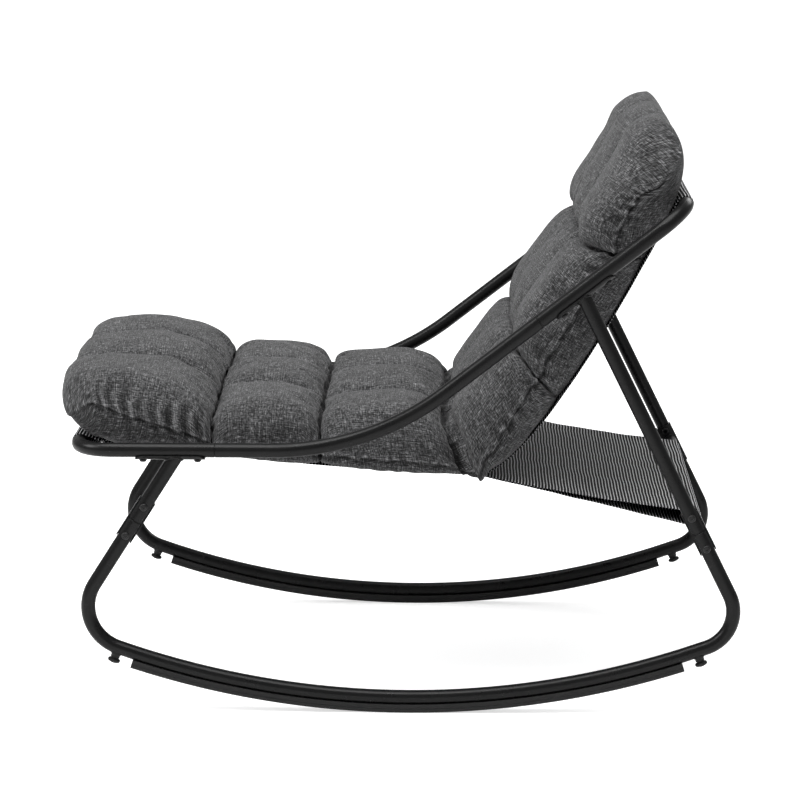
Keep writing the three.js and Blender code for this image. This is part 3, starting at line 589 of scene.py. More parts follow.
def pad_shape():
    """The rubber strip: a chamfered tread with a fine groove on each side and lips that hold the tube."""
    face = TUBE + PAD_DEPTH
    seat = TUBE + 1.5 * GAP
    wrap = math.acos(PAD_LIP / seat)
    seat_arc = [(seat * math.sin(a), -seat * math.cos(a)) for a in (wrap * (1 - k / 6) for k in range(13))]
    flank = [(10.1, -PAD_LIP), (10.5, -PAD_LIP - 0.6), (10.5, -15.6), (9.9, -16.2), (9.9, -17.0),
             (10.5, -17.6), (10.5, 2.8 - face), (9.9, 1.3 - face), (8.6, 0.3 - face), (7.6, -face)]
    outline = [*seat_arc, *[(-a, b) for a, b in flank], *flank[::-1]]
    return skin([[point + Y_AXIS * a + vec(-direction.z, direction.x) * b for a, b in outline]
                 for point, direction in arc(ROCKER_AT, ROCKER_TUBE_R, -PAD_ANGLE, PAD_ANGLE, ARC_STEPS)])


def head_shape(radius, length):
    """A button-head screw with a hexagon socket; its head lies below zero and the shank points up."""
    top = -HEAD_HEIGHT
    profile = [(0.01, top + 2.0), (2.2, top + 2.0), (2.2, top + 0.15), (2.45, top), (3.4, top),
               (radius * 0.78, top * 0.86), (radius * 0.93, top * 0.55), (radius, top * 0.2),
               (radius - 0.15, 0), (SHANK, 0), (SHANK, length), (0.01, length)]
    return lathe(profile, 48, hexes=(1, 2))


def dress(name, shape, node, finish=PAINTED, body="frame", bevel=0.0):
    """The visible piece for one node, with a bevel in millimetres."""
    obj = add_mesh(name, shape.verts, shape.faces, *finish)
    if bevel:
        mod = obj.modifiers.new("edge", "BEVEL")
        mod.width = bevel * MM
        mod.segments = 2
        mod.limit_method = "ANGLE"
        mod.angle_limit = rad(40)
    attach(obj, body)
    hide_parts(node)


def build_crossbar():
    out = Y_AXIS * BAR_REACH
    bar = tube([(CROSSBAR_AT - out, Y_AXIS), (CROSSBAR_AT + out, Y_AXIS)], Z_AXIS)
    for side in (-1, 1):
        middle = CROSSBAR_AT + Y_AXIS * side * (BAR_REACH - CHANNEL_THICK / 2)
        ring = ring_of(middle, X_AXIS, Z_AXIS, TUBE, JOINT_SIDES)
        normals = [((point - middle).normalized() - Y_AXIS * side).normalized() for point in ring]
        bar.join(channel_shape(LEGS[1], side)).join(weld(ring, normals, BAR_WELD))
    dress("crossbar", bar, "rear_crossbar")


def build_leg(leg, label, side, shift):
    """One leg on one side, with its bracket, fasteners and stopper foot."""
    end, along, inward = leg["name"], leg["along"], Y_AXIS * -side
    rise = rise_of(along)
    grip = 2 * TUBE + 3 * GAP + CHANNEL_THICK
    dress(f"{end}_post_{label}", leg_shape(leg).moved(shift), f"{end}_leg_{label}")
    if end == "front":
        dress(f"front_bracket_{label}", channel_shape(leg, side), f"front_channel_{label}", bevel=0.35)
    for index, share in ((1, -0.5), (2, 0.5)):
        place = leg["saddle"] + along * share * BOLT_PITCH - rise * (SADDLE_OUT + GAP)
        bolt = along_z(head_shape(5.6, SADDLE_OUT - GAP), place, rise, 0.3 * index)
        dress(f"under_bolt_{end}_{index}_{label}", bolt.moved(shift), f"saddle_bolt_{end}_{index}_{label}",
              BLACKENED)
    for level, share in (("upper", 0.5), ("lower", -0.5)):
        centre = leg["joint"] + leg["up"] * share * SCREW_PITCH
        screw = along_z(head_shape(6.0, grip + 5), centre - inward * (TUBE + GAP), inward, 0.2 + share)
        nut = along_z(lathe(NUT, 48, hexes=(2, 3)), centre + inward * (grip - TUBE - GAP), inward, 0.4)
        for kind, shape in (("screw", screw), ("nut", nut)):
            dress(f"side_{kind}_{end}_{level}_{label}", shape.moved(shift),
                  f"channel_{kind}_{end}_{level}_{label}", BLACKENED)
    node = f"stopper_foot_{end}_{label}"
    dress(f"foot_{end}_{label}", along_z(lathe(FOOT), *stopper_at(end)).moved(shift), node, MOULDED, node)


def build_frame():
    dress("front_hoop", hoop(FRONT_SEAM_AT, FRONT_BAR_AT), "front_frame_tube")
    dress("back_hoop", hoop(UPPER_SEAM_AT, TOP_BAR_AT), "back_frame_tube")
    build_crossbar()
    rail = tube(bent([FRONT_SEAM_AT, ARM_ROOT, UPPER_SEAM_AT], ARM_BEND, ARM_STEPS))
    rail.join(collar(FRONT_SEAM_AT, ALONG_RAIL)).join(collar(UPPER_SEAM_AT, ALONG_ARM))
    for label, side in (("left", -1), ("right", 1)):
        shift = Matrix.Translation(Y_AXIS * side * RAIL_Y)
        dress(f"rail_{label}", rail.moved(shift), f"side_rail_{label}")
        dress(f"rocker_{label}", rocker_shape().moved(shift), f"rocker_tube_{label}")
        dress(f"tread_{label}", pad_shape().moved(shift), f"rocker_pad_{label}", MOULDED)
        for leg in LEGS:
            build_leg(leg, label, side, shift)
    for name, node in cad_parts.items():
        if name.startswith("rail_insert_"):
            for index in range(len(node.data.materials)):
                node.data.materials[index] = BLACKENED[0]


# Lines in the side plane, as arrays of (x, z)
def pulled(start, pull, end, steps):
    """A curve from start to end that is pulled towards a point."""
    ts = np.linspace(0, 1, steps + 1)[:, None]
    start, pull, end = (np.array(p, float) for p in (start, pull, end))
    return (1 - ts) ** 2 * start + 2 * ts * (1 - ts) * pull + ts ** 2 * end


def flat(v):
    return np.array((v.x, v.z))


def steps_of(line):
    return np.linalg.norm(np.diff(line, axis=0), axis=1)


def length_of(line):
    return float(steps_of(line).sum())


def walked(line):
    """How far each point lies along a line."""
    return np.concatenate([[0], np.cumsum(steps_of(line))])


def at_share(line, share, offset=0.0):
    """The point at a share of a line's length, moved to the left of its direction."""
    lengths = steps_of(line)
    goal = share * lengths.sum()
    k = min(int(np.searchsorted(np.cumsum(lengths), goal)), len(lengths) - 1)
    tangent = (line[k + 1] - line[k]) / lengths[k]
    point = line[k] + tangent * (goal - lengths[:k].sum())
    return point + np.array((-tangent[1], tangent[0])) * offset


def normals_of(line):
    """Directions to the left of a line at each of its points."""
    tangent = np.gradient(line, axis=0)
    tangent /= np.linalg.norm(tangent, axis=1)[:, None]
    return np.stack([-tangent[:, 1], tangent[:, 0]], 1)


def resample(line, step):
    lengths = walked(line)
    count = max(int(lengths[-1] / step), 2)
    goal = np.linspace(0, lengths[-1], count + 1)
    return np.stack([np.interp(goal, lengths, line[:, k]) for k in (0, 1)], 1), goal


# Slings
WRAP = TUBE + GAP + SLING_THICK / 2
LAYER = SLING_THICK + GAP
FOLD = np.array((115.0, RAIL_Z - 50))
SEAT_PULL = np.array((-250.0, RAIL_Z - 36))
BACK_PULL = np.array((208.0, RAIL_Z - 25))
LOOP_SAG = 10.0
LAP = 42.0
HEM = 20.0
RING_STEP = 4.0
PULL_STEPS, WRAP_STEPS, LOOP_STEPS = 96, 36, 40
FRONT_BAR, TOP_BAR, REAR_BAR = flat(FRONT_BAR_AT), flat(TOP_BAR_AT), flat(CROSSBAR_AT)


def touch(bar, point, turn):
    """The angle at which a straight run of cloth from a point touches its wrap round a bar."""
    reach = np.array(point) - bar
    return math.atan2(reach[1], reach[0]) + turn * math.acos(WRAP / np.linalg.norm(reach))


def on_wrap(bar, angle):
    return bar + WRAP * np.array((math.cos(angle), math.sin(angle)))


def wrap(bar, start, end):
    turn = (start - end) % (2 * math.pi)
    return np.array([on_wrap(bar, start - turn * k / WRAP_STEPS) for k in range(WRAP_STEPS + 1)])


SEAT_TOUCH = touch(FRONT_BAR, SEAT_PULL, 1)
SEAT_LINE = pulled(on_wrap(FRONT_BAR, SEAT_TOUCH), SEAT_PULL, FOLD, PULL_STEPS)
BACK_TOUCH = touch(TOP_BAR, BACK_PULL, -1)
BACK_LINE = pulled(FOLD, BACK_PULL, on_wrap(TOP_BAR, BACK_TOUCH), PULL_STEPS)
SEAT_LAP = LAP / length_of(SEAT_LINE)
BACK_LAP = LAP / length_of(BACK_LINE)


def seat_route():
    """From the lap under the seat round the front bar, along the seat, round the crossbar and back."""
    lap = at_share(SEAT_LINE, 0.7 * SEAT_LAP, -LAYER)
    under = at_share(SEAT_LINE, 1, -LAYER)
    top = touch(REAR_BAR, FOLD, -1)
    end = on_wrap(REAR_BAR, top)
    sag = (FOLD + end) / 2 - np.array((0, LOOP_SAG))
    loop = wrap(REAR_BAR, top, touch(REAR_BAR, under, 1))
    return np.vstack([
        at_share(SEAT_LINE, SEAT_LAP, -LAYER), wrap(FRONT_BAR, touch(FRONT_BAR, lap, -1), SEAT_TOUCH),
        SEAT_LINE[1:], pulled(FOLD, sag, end, LOOP_STEPS)[1:-1], loop,
        np.linspace(loop[-1], under, LOOP_STEPS)[1:], at_share(SEAT_LINE, 1 - SEAT_LAP / 4, -LAYER)])


def back_route():
    """From its seam on the seat, up the back and round the top bar to its lap."""
    lap = at_share(BACK_LINE, 1 - 0.7 * BACK_LAP, -LAYER)
    return np.vstack([
        at_share(SEAT_LINE, 1 - SEAT_LAP / 4, LAYER), at_share(SEAT_LINE, 1, LAYER), BACK_LINE[3:],
        wrap(TOP_BAR, BACK_TOUCH, touch(TOP_BAR, lap, 1))[1:], at_share(BACK_LINE, 1 - BACK_LAP, -LAYER)])


def free_span(start, end):
    """A function that is 0 at both ends of a free span of cloth and 1 in its middle."""
    return lambda s: math.sin(math.pi * min(max((s - start) / (end - start), 0), 1)) ** 0.7


def front_droop(s):
    """How far the seat's edges hang down in millimetres, just behind the front corners."""
    return 7.0 * min(max((s - 85) / 36, 0), 1) ** 1.3 * math.exp(-(max(s - 150, 0) / 70) ** 2)


def sling(name, route, node, hang, droop=lambda s: 0.0):
    """A woven sheet along a route, with doubled hems. hang(s) is how far its free span draws in."""
    line, s = resample(route, RING_STEP)
    normal = normals_of(line)
    hem = 1 - HEM / SLING_HALF
    outer = np.concatenate([np.linspace(hem + 0.004, 0.985, 4), [0.995, 0.9985, 1]])
    across = np.concatenate([-outer[::-1], np.linspace(-hem, hem, 65), outer])
    edge = np.abs(across)
    half = np.select([edge == 1, edge >= 0.9985, edge > hem], [0.08, 0.3, 0.62], 0.42)
    phases = np.random.default_rng(7).uniform(0, 2 * math.pi, 2)
    grids, cloth = ([], []), ([], [])
    for i, place in enumerate(s):
        draw = hang(place)
        y = across * (SLING_HALF - draw * 4.0)
        wave = np.sin(place / 17.0 + phases[0] + across * 1.5) + 0.6 * np.sin(place / 9.0 + phases[1])
        ripple = draw * 0.3 * np.maximum(0, (edge - 0.55) / 0.45) ** 2 * wave
        fallen = droop(place) * np.maximum(0, (edge - 0.7) / 0.3) ** 2
        base = line[i] + normal[i] * (ripple - 0.1 - fallen)[:, None]
        for side, way in ((0, 1), (1, -1)):
            points = base + normal[i] * (half * way)[:, None]
            grids[side].append(np.stack([points[:, 0], y, points[:, 1]], 1))
            cloth[side].append(np.stack([y * MM, np.full_like(y, place * MM), np.full_like(y, side)], 1))
    shape = slab(*grids)
    obj = add_mesh(name, shape.verts, shape.faces, *WOVEN, 50)
    mark_cloth(obj, np.vstack(cloth[0] + cloth[1]))
    fix_normals(obj)
    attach(obj, "frame")
    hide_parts(node)
    return obj, float(s[-1])


def mark_cloth(obj, values):
    """Keeps the place on the cloth of each point: across, along and which side or how high."""
    attribute = obj.data.attributes.new("cloth", "FLOAT_VECTOR", "POINT")
    attribute.data.foreach_set("vector", np.array(values, np.float32).ravel())


def fix_normals(obj):
    bm = bmesh.new()
    bm.from_mesh(obj.data)
    bmesh.ops.recalc_face_normals(bm, faces=bm.faces)
    bm.to_mesh(obj.data)
    bm.free()


def build_slings():
    seat_line, back_line = seat_route(), back_route()
    to_fold = 1 + WRAP_STEPS + 1 + PULL_STEPS
    to_bar = to_fold + LOOP_STEPS - 1 + WRAP_STEPS // 2
    fold_at, bar_at, end = (length_of(seat_line[:count]) for count in (to_fold, to_bar, len(seat_line)))
    free, rear, low = free_span(60, fold_at), free_span(fold_at, bar_at), free_span(bar_at, end)
    up = free_span(0, length_of(back_line))
    seat, seat_long = sling("seat_cloth", seat_line, "seat_sling",
                            lambda s: 0.4 * free(s) + rear(s) + low(s), front_droop)
    back, back_long = sling("back_cloth", back_line, "back_sling", lambda s: 0.6 * up(s))


# Cushion: rows of pillows count from 0 at the front edge to 6 at the top of the head
ROWS = 6
COLUMNS = 3
CUSHION_HALF = 281.0
CUSHION_THICK = 116.0
RUNS = [(0, 0.14, "lip", 0, 0.5), (0.14, 0.28, "lip", 0.5, 1), (0.28, 1, "seat", 0.035, 0.33),
        (1, 2, "seat", 0.33, 0.6), (2, 3, "seat", 0.6, 0.965), (3, 4, "back", 0, 0.32),
        (4, 5, "back", 0.32, 0.8), (5, 5.15, "back", 0.8, 0.9), (5.15, 6, "head", 0, 1)]
LEAN_AT = [0, 1, 2, 2.6, 3, 4, 5, 5.75, 6]
LEAN = [92, 90, 91, 98, 117, 131, 167, 172, 186]
GROOVES = [0.05, 0.52, 0.56, 0.70, 0.84, 0.72, 0.06]
BULGES = [0.75, 0.33, 0.27, 0.31, 0.25, 0.55]
SKEWS = [0.62, 1, 0.9, 0.78, 1, 1.05]
POWERS = [2.4, 2.3, 2.3, 2.3, 2.3, 2.4]
SLOTS = np.array([0, 1, 1, 1, 0.35, 0.9, 0])
SEAM_AT = [0, 0.2, 0.5, 1, 2, 3, 3.4, 4, 5, 5.4, 6]
SEAM_SHARE = [0.75, 0.6, 0.42, 0.31, 0.28, 0.2, 0.34, 0.45, 0.5, 0.58, 0.5]
DROP_AT = [0, 0.35, 0.75, 1, 1.5, 2, 2.5, 3]
DROP = [0, 0, 11, 15, 9, 6, 4, 0]
CROWN = 9.0
TOP_ROUND = 66
UNDER_ROUND = 40
REST = SLING_THICK / 2 + GAP
TABLE_STEPS = 200
FILL_FRAMES = 18
FILL_LIMIT = 20.0


def bell(values, width):
    return np.exp(-(values / width) ** 2)


def climb(values, start, width):
    """Rises from 0 to 1 over a width."""
    return np.clip((values - start) / width, 0, 1)


def between(values, start, end, width, last_width=None):
    """1 between start and end, with a slope inside each of them."""
    return climb(values, start, width) * np.clip((end - values) / (last_width or width), 0, 1)


def rest_lines():
    """The lines that the underside of the cushion lies on."""
    lip_end = at_share(SEAT_LINE, 0.035, REST)
    head_foot = at_share(BACK_LINE, 0.9, REST)
    return {
        "lip": pulled(FRONT_BAR + (-33, 70), FRONT_BAR + (-17, 22), lip_end, 40),
        "seat": SEAT_LINE + normals_of(SEAT_LINE) * (REST + 0.6),
        "back": BACK_LINE + normals_of(BACK_LINE) * (REST + 0.6),
        "head": pulled(head_foot, TOP_BAR + (31, 82), TOP_BAR + (-37, 126), 40),
    }


def puff(share, power=2.4):
    """The height of a pillow over its width: 0 at both seams, 1 in the middle."""
    return np.sqrt(np.maximum(0, 1 - np.abs(2 * share - 1) ** power))


def end_round(row):
    """How far the pillow has risen from the seam at its front end."""
    near = min(1, row / 0.4)
    return math.sqrt(max(0, 1 - (1 - near) ** 2))


def cushion_station(row, lines):
    """Where the cushion rests at a row, the direction of its thickness, its thickness and half width."""
    index = min(int(row), ROWS - 1)
    share = row - index
    start, end, line, first, last = next(run for run in RUNS if row <= run[1] + 1e-9)
    rest = at_share(lines[line], first + (last - first) * (row - start) / (end - start))
    angle = math.radians(float(np.interp(row, LEAN_AT, LEAN)))
    groove = GROOVES[index] + (GROOVES[index + 1] - GROOVES[index]) * share
    swell = float(puff(share ** SKEWS[index], POWERS[index]))
    thick = CUSHION_THICK * (groove + BULGES[index] * swell * end_round(row))
    half = CUSHION_HALF - 15 * (1 - float(puff(share, 3.0)))
    return [*rest, math.cos(angle), math.sin(angle), thick, half]


def graded(length, count, first, ease=1.35):
    """Distances from 0 to a length whose spacing grows from a small first step."""
    k = np.linspace(0, 1, count + 1)
    return length * (first * k + (1 - first) * k ** ease)


def side_curve(thick, half, share):
    """The right half of a ring: from the middle of the underside round the side to the top's middle."""
    seam = thick * share
    top_flat, under = half - TOP_ROUND, half - UNDER_ROUND
    a = np.radians(np.linspace(0, 90, 31))
    y = np.concatenate([np.linspace(0, under, 40)[:-1], under + UNDER_ROUND * np.sin(a)])
    t = np.concatenate([np.zeros(39), seam * (1 - np.cos(a))])
    top_y = np.concatenate([top_flat + TOP_ROUND * np.cos(a)[1:], np.linspace(top_flat, 0, 60)[1:]])
    top_t = np.concatenate([seam + (thick - seam) * np.sin(a)[1:], np.full(59, float(thick))])
    place = np.clip((top_y / CUSHION_HALF + 1) * COLUMNS / 2, 0.5, 2.5) % 1
    crown = CROWN * bell(top_y, 82) * thick / CUSHION_THICK
    rise = 1 - 0.22 * (1 - puff(place, 2.1)) + crown / max(thick, 1)
    top_t = seam + (top_t - seam) * rise
    return np.stack([np.concatenate([y, top_y]), np.concatenate([t, top_t])], 1), len(y) - 1


class Cushion:
    """The cushion as rings of points, with how far each point lies along and across the cloth."""

    def __init__(self, step, fine_step, over, under, first, slim=1.0):
        lines = rest_lines()
        table = np.linspace(0, ROWS, ROWS * TABLE_STEPS + 1)
        data = np.array([cushion_station(row, lines) for row in table])
        run = walked(data[:, 0:2] + data[:, 2:4] * data[:, 4:5])
        marks = run[::TABLE_STEPS]
        gap = np.abs(run[:, None] - marks[None, :]).min(1)
        spacing = fine_step + (step - fine_step) * (1 - np.exp(-gap / 16))
        count = np.concatenate([[0], np.cumsum(np.diff(run) / ((spacing[1:] + spacing[:-1]) / 2))])
        wanted = np.linspace(0, count[-1], int(round(count[-1])) + 1)
        self.rows = np.interp(wanted, count, table)
        self.along = np.interp(self.rows, table, run)
        self.marks, self.table, self.data = marks, table, data
        self.thick = np.interp(self.rows, table, data[:, 4]) * slim
        self.half = np.interp(self.rows, table, data[:, 5]) - 60 * (1 - slim)
        ring_y, ring_t, across, share = [], [], [], []
        for thick, half, low in zip(self.thick, self.half, np.interp(self.rows, SEAM_AT, SEAM_SHARE)):
            curve, seam = side_curve(thick, half, low)
            far = walked(curve)
            up = graded(far[-1] - far[seam], over, first)
            down = graded(far[seam], under, first)
            place = np.concatenate([far[seam] - down[::-1], far[seam] + up[1:]])
            y, t = np.interp(place, far, curve[:, 0]), np.interp(place, far, curve[:, 1])
            ring_y.append(np.concatenate([y, -y[-2:0:-1]]))
            ring_t.append(np.concatenate([t, t[-2:0:-1]]))
            across.append(np.concatenate([place - far[-1], far[-1] - place[-2:0:-1]]))
            share.append(np.concatenate([place, 2 * far[-1] - place[-2:0:-1]]) / (2 * far[-1]))
        self.seam_index = under
        self.y, self.height = np.array(ring_y), np.array(ring_t)
        self.across, self.share = np.array(across), np.array(share)
        self.count = self.y.shape[1]
        self.points = self.placed()

    def placed(self):
        """Points in space; the ends are scalloped by column and rounded at the corners."""
        rows = self.rows[:, None] * np.ones_like(self.y)
        out = np.abs(self.y)
        lobe = 1 - puff(((self.y / CUSHION_HALF + 1) * COLUMNS / 2) % 1, 2.2)
        corner = np.clip((out - 165) / 105, 0, 1.2) ** 2.6
        front, rear = bell(rows, 0.22), bell(ROWS - rows, 0.42)
        rows = rows + front * (0.045 * lobe + 0.11 * corner) - rear * (0.09 * lobe + 0.27 * corner)
        pick = [np.interp(rows, self.table, self.data[:, k]) for k in range(4)]
        low = climb(out, 236, 36) ** 1.4 * np.clip(1 - self.height / 50, 0, 1)
        sag = 3 + 7 * puff(rows % 1) + 15 * bell(rows - 0.44, 0.15)
        ear = low * bell(rows - 3.03, 0.04)
        hang = low * sag * climb(rows, 0.12, 0.1) * (rows < 3.6)
        hang += 26 * ear + 6 * rear * lobe
        hang += bell(self.y + 200, 75) * climb(self.height, 0, 40) * np.interp(rows, DROP_AT, DROP)
        y = self.y + np.sign(self.y) * 8 * ear
        return np.stack([pick[0] + pick[2] * self.height, y, pick[1] + pick[3] * self.height - hang], 2)

    def mesh(self, name):
        rings, count = self.y.shape
        base = (np.arange(rings - 1) * count)[:, None]
        k = np.arange(count)[None, :]
        j = (k + 1) % count
        faces = np.stack([base + k, base + j, base + count + j, base + count + k], 2).reshape(-1, 4).tolist()
        faces += self.closed(0) + self.closed(rings - 1)
        obj = add_mesh(name, self.points.reshape(-1, 3), faces, *COVERED, 180)
        height = np.clip(self.height / 118, 0, 1)
        mark_cloth(obj, np.stack([self.across * MM, self.laid() * MM, height], 2))
        fix_normals(obj)
        return obj

    def laid(self):
        """How far each point lies along the cloth, measured over its own pillow from the middle of it."""
        steps = np.linalg.norm(np.diff(self.points, axis=0), axis=2)
        run = np.vstack([np.zeros((1, self.count)), np.cumsum(steps, axis=0)])
        for row in range(ROWS):
            inside = np.clip(self.rows.astype(int), 0, ROWS - 1) == row
            part = run[inside]
            run[inside] = part - (part[:1] + part[-1:]) / 2 + (self.marks[row] + self.marks[row + 1]) / 2
        return run

    def closed(self, ring):
        """Faces that sew the upper edge of an end ring to its lower edge."""
        seam, count = self.seam_index, self.count
        upper = list(range(seam, count - seam + 1))
        lower = [k % count for k in range(seam, -seam - 1, -1)]
        y, base = self.y[ring], ring * count
        faces = [(upper[0], upper[1], lower[1])]
        i = j = 1
        while i < len(upper) - 2 or j < len(lower) - 2:
            if j == len(lower) - 2 or (i < len(upper) - 2 and y[upper[i + 1]] >= y[lower[j + 1]]):
                faces.append((upper[i], upper[i + 1], lower[j]))
                i += 1
            else:
                faces.append((upper[i], lower[j + 1], lower[j]))
                j += 1
        faces.append((upper[i], upper[i + 1], lower[j]))
        return [tuple(base + k for k in face) for face in faces]

    def seam_distance(self):
        """Distance round the ring from each point to the seam on its side, less than zero below it."""
        return np.abs(self.across[:, self.seam_index])[:, None] - np.abs(self.across)

    def held(self):
        """How firmly each point is held while the cushion fills: grooves, tufts, seam and underside."""
        near = np.abs(self.along[:, None] - self.marks[None, :]).min(1)[:, None]
        line = bell(near, 7.0) * np.ones_like(self.y)
        column = bell(np.abs(self.y) - CUSHION_HALF / COLUMNS, 9.0) * (self.height > 40)
        column = column * (0.3 + 0.65 * bell(near, 26.0))
        under = np.clip((14 - self.height) / 10, 0, 1)
        seam = bell(self.seam_distance(), 6.0) * 0.6
        return np.maximum.reduce([line, column, under, seam]).ravel()

    def from_ends(self):
        """None at either end of the cushion, full a little way in."""
        near = climb(np.minimum(self.rows, ROWS - self.rows), 0, 0.45)
        return near * near * (3 - 2 * near)

    def take(self, other, move):
        """Moves the points by the move of a coarser cushion at the same places of the cloth."""
        weight = self.from_ends()
        at = np.interp(self.rows, other.rows, np.arange(len(other.rows)))
        for i, place in enumerate(at):
            low = min(int(place), len(other.rows) - 2)
            part = place - low
            both = move[low] * (1 - part) + move[low + 1] * part
            share = other.share[low] * (1 - part) + other.share[low + 1] * part
            share = np.concatenate([share, share[:1] + 1])
            both = np.vstack([both, both[:1]])
            for axis in range(3):
                self.points[i, :, axis] += weight[i] * np.interp(self.share[i], share, both[:, axis])

    def level(self):
        """Brings each ring back to its measured thickness after filling."""
        pick = [np.interp(self.rows, self.table, self.data[:, k])[:, None] for k in range(4)]
        t = (self.points[:, :, 0] - pick[0]) * pick[2] + (self.points[:, :, 2] - pick[1]) * pick[3]
        factor = self.height.max(1) / np.maximum(t.max(1), 1)
        factor = np.convolve(np.pad(factor, 3, "edge"), np.ones(7) / 7, "valid")
        factor = (1 + (factor - 1) * self.from_ends())[:, None]
        extra = t * (factor - 1) * (t > 0)
        self.points[:, :, 0] += pick[2] * extra
        self.points[:, :, 2] += pick[3] * extra
        reach = np.abs(self.points[:, :, 1]).max(1)[:, None]
        self.points[:, :, 1] *= np.minimum(1, (self.half[:, None] + 4) / reach)


def waves(rng, values, period, count=4):
    """An uneven ripple of about one period, between -1 and 1."""
    out = np.zeros_like(values)
    for _ in range(count):
        out += np.sin(2 * math.pi * values / (period * rng.uniform(0.75, 1.35)) + rng.uniform(0, 2 * math.pi))
    return out / count * 1.3


def pinched(ripple):
    """Turns a ripple into round folds with narrow valleys."""
    return np.sqrt(np.abs(ripple)) * 1.4 - 0.9


def creases(c):
    """How far the sewn cloth stands in or out, in millimetres, and the painted shade and painted highlight on
    its folds.
    """
    rng = np.random.default_rng(11)
    v = np.broadcast_to(c.along[:, None], c.across.shape)
    u, side, row = c.across, np.where(c.y > 0, 1.0, -1.0), c.rows[:, None]
    nearest = np.round(row)
    index = np.clip(nearest.astype(int), 0, ROWS)
    from_mark = v - c.marks[index]
    inner, sewn = between(row, 0.06, 5.95, 0.1), between(row, 0.5, 5.5, 0.1)

    # Where the grooves across the cushion and the seams along its sides run
    wander = 3.5 * waves(rng, u + 90 * nearest, 150) + 2.5 * waves(rng, u + 50 * nearest, 48)
    near = np.abs(from_mark + wander * climb(row, 0.5, 0.1))
    firm = sewn * SLOTS[index] * (0.85 + 0.3 * waves(rng, u + 70 * nearest, 120))
    seam = c.seam_distance() + 2.4 * waves(rng, v + side * 31, 34)

    # The seam: a cut under a raised edge, and small pulls along it
    cut, edge = bell(seam + 1.4, 2.2) * inner, bell(seam - 2.6, 2.2) * inner
    out = 2.2 * edge - 4.4 * cut
    # Painted shade in the seam's cut under the edge, and painted highlight on the raised edge above it
    fold = 0.95 * cut * (0.75 + 0.35 * waves(rng, v, 11)) - 0.8 * edge * (0.5 + 0.6 * waves(rng, v, 16))
    pull = bell(np.maximum(seam, 0), 22) * bell(np.minimum(seam, 0), 9)
    out += 1.3 * inner * pull * waves(rng, v + side * 40, 15)

    # Gathers on the front pillows, soft folds behind them and puckers up the back
    gather = np.tanh(2.4 * waves(rng, v + 4 * np.sin(seam / 13) + side * 17, 30))
    gather = gather * between(row, 0.2, 1.0, 0.15, 0.1) * bell(seam - 16, 26)
    soft = pinched(waves(rng, v + side * 29, 56)) * climb(row, 1.0, 0.1) * bell(seam - 18, 18)
    pucker = np.tanh(2.4 * waves(rng, v + 3 * np.sin(seam / 11) + side * 53, 24))
    pucker = pucker * between(row, 3.2, 5.9, 0.2) * bell(seam - 3, 17)
    out += 3.6 * gather + 1.7 * soft + 2.4 * pucker
    # Painted highlight on the ridges of the gathers, soft folds and puckers, and painted shade in their
    # valleys
    fold -= 0.45 * gather + 0.2 * soft + 0.35 * pucker

    # The grooves, with creases that fan out from them
    out -= (7.5 * bell(near, 3.4) + 3.5 * bell(near, 8.0)) * firm
    # Painted shade in the grooves
    fold += (0.75 * bell(near, 3.4) + 0.25 * bell(near, 9.0)) * firm
    out += 1.9 * sewn * bell(near - 10, 10) * waves(rng, u + 60 * nearest, 26)
    fan = bell(near, 45) * bell(seam - 34, 32) * sewn * waves(rng, u + 0.6 * np.abs(from_mark), 24)
    out += 2.4 * fan
    # Painted highlight where the fanned creases stand out, painted shade where they sink in
    fold -= 0.2 * fan

    # A dimple and a star of creases at each tuft
    for mark in c.marks[1:-1]:
        for line in (-1, 1):
            across = c.y - line * CUSHION_HALF / COLUMNS
            far = np.sqrt(across ** 2 + (v - mark) ** 2) + 300 * (c.height < 30)
            turn = np.arctan2(v - mark, across)
            star = (1 - bell(far, 8)) * bell(far, 36) * np.sin(5 * turn + rng.uniform(0, 6.3))
            out += 2.3 * star - 6.0 * bell(far, 8)
            # Painted shade in each tuft's dimple, and painted highlight and shade on the star's creases
            fold += 0.5 * bell(far, 6) - 0.1 * star

    out += 1.6 * waves(rng, u + 0.3 * v, 74) * waves(rng, v - 0.2 * u, 88)
    above = climb(c.height, 3, 12)
    return out * above, np.clip(fold * above, -1, 1)


def fill_cushion(obj, weights):
    """Fills the cover with soft air pressure and returns how far each point moved, up to a limit."""
    group = obj.vertex_groups.new(name="held")
    for w in np.unique(np.round(weights, 2)):
        if w > 0.01:
            group.add([int(i) for i in np.nonzero(np.abs(weights - w) < 0.005)[0]], float(w), "REPLACE")
    before = np.empty(len(obj.data.vertices) * 3)
    obj.data.vertices.foreach_get("co", before)
    mod = obj.modifiers.new("fill", "CLOTH")
    settings = dict(quality=5, mass=0.2, tension_stiffness=10, compression_stiffness=10, shear_stiffness=3,
                    bending_stiffness=0.3, use_pressure=True, uniform_pressure_force=4.0,
                    vertex_group_mass="held", pin_stiffness=1.0, shrink_min=-0.04, shrink_max=-0.04)
    for key, value in settings.items():
        setattr(mod.settings, key, value)
    mod.settings.effector_weights.gravity = 0
    mod.collision_settings.use_collision = False
    mod.collision_settings.use_self_collision = False
    mod.point_cache.frame_start, mod.point_cache.frame_end = 1, FILL_FRAMES
    scene = bpy.context.scene
    for frame_number in range(1, FILL_FRAMES + 1):
        scene.frame_set(frame_number)
    graph = bpy.context.evaluated_depsgraph_get()
    after = np.empty_like(before)
    obj.evaluated_get(graph).data.vertices.foreach_get("co", after)
    scene.frame_set(1)
    mesh = obj.data
    bpy.data.objects.remove(obj)
    bpy.data.meshes.remove(mesh)
    move = (after - before).reshape(-1, 3) / MM
    size = np.linalg.norm(move, axis=1)[:, None]
    return move * FILL_LIMIT / np.maximum(FILL_LIMIT, size)


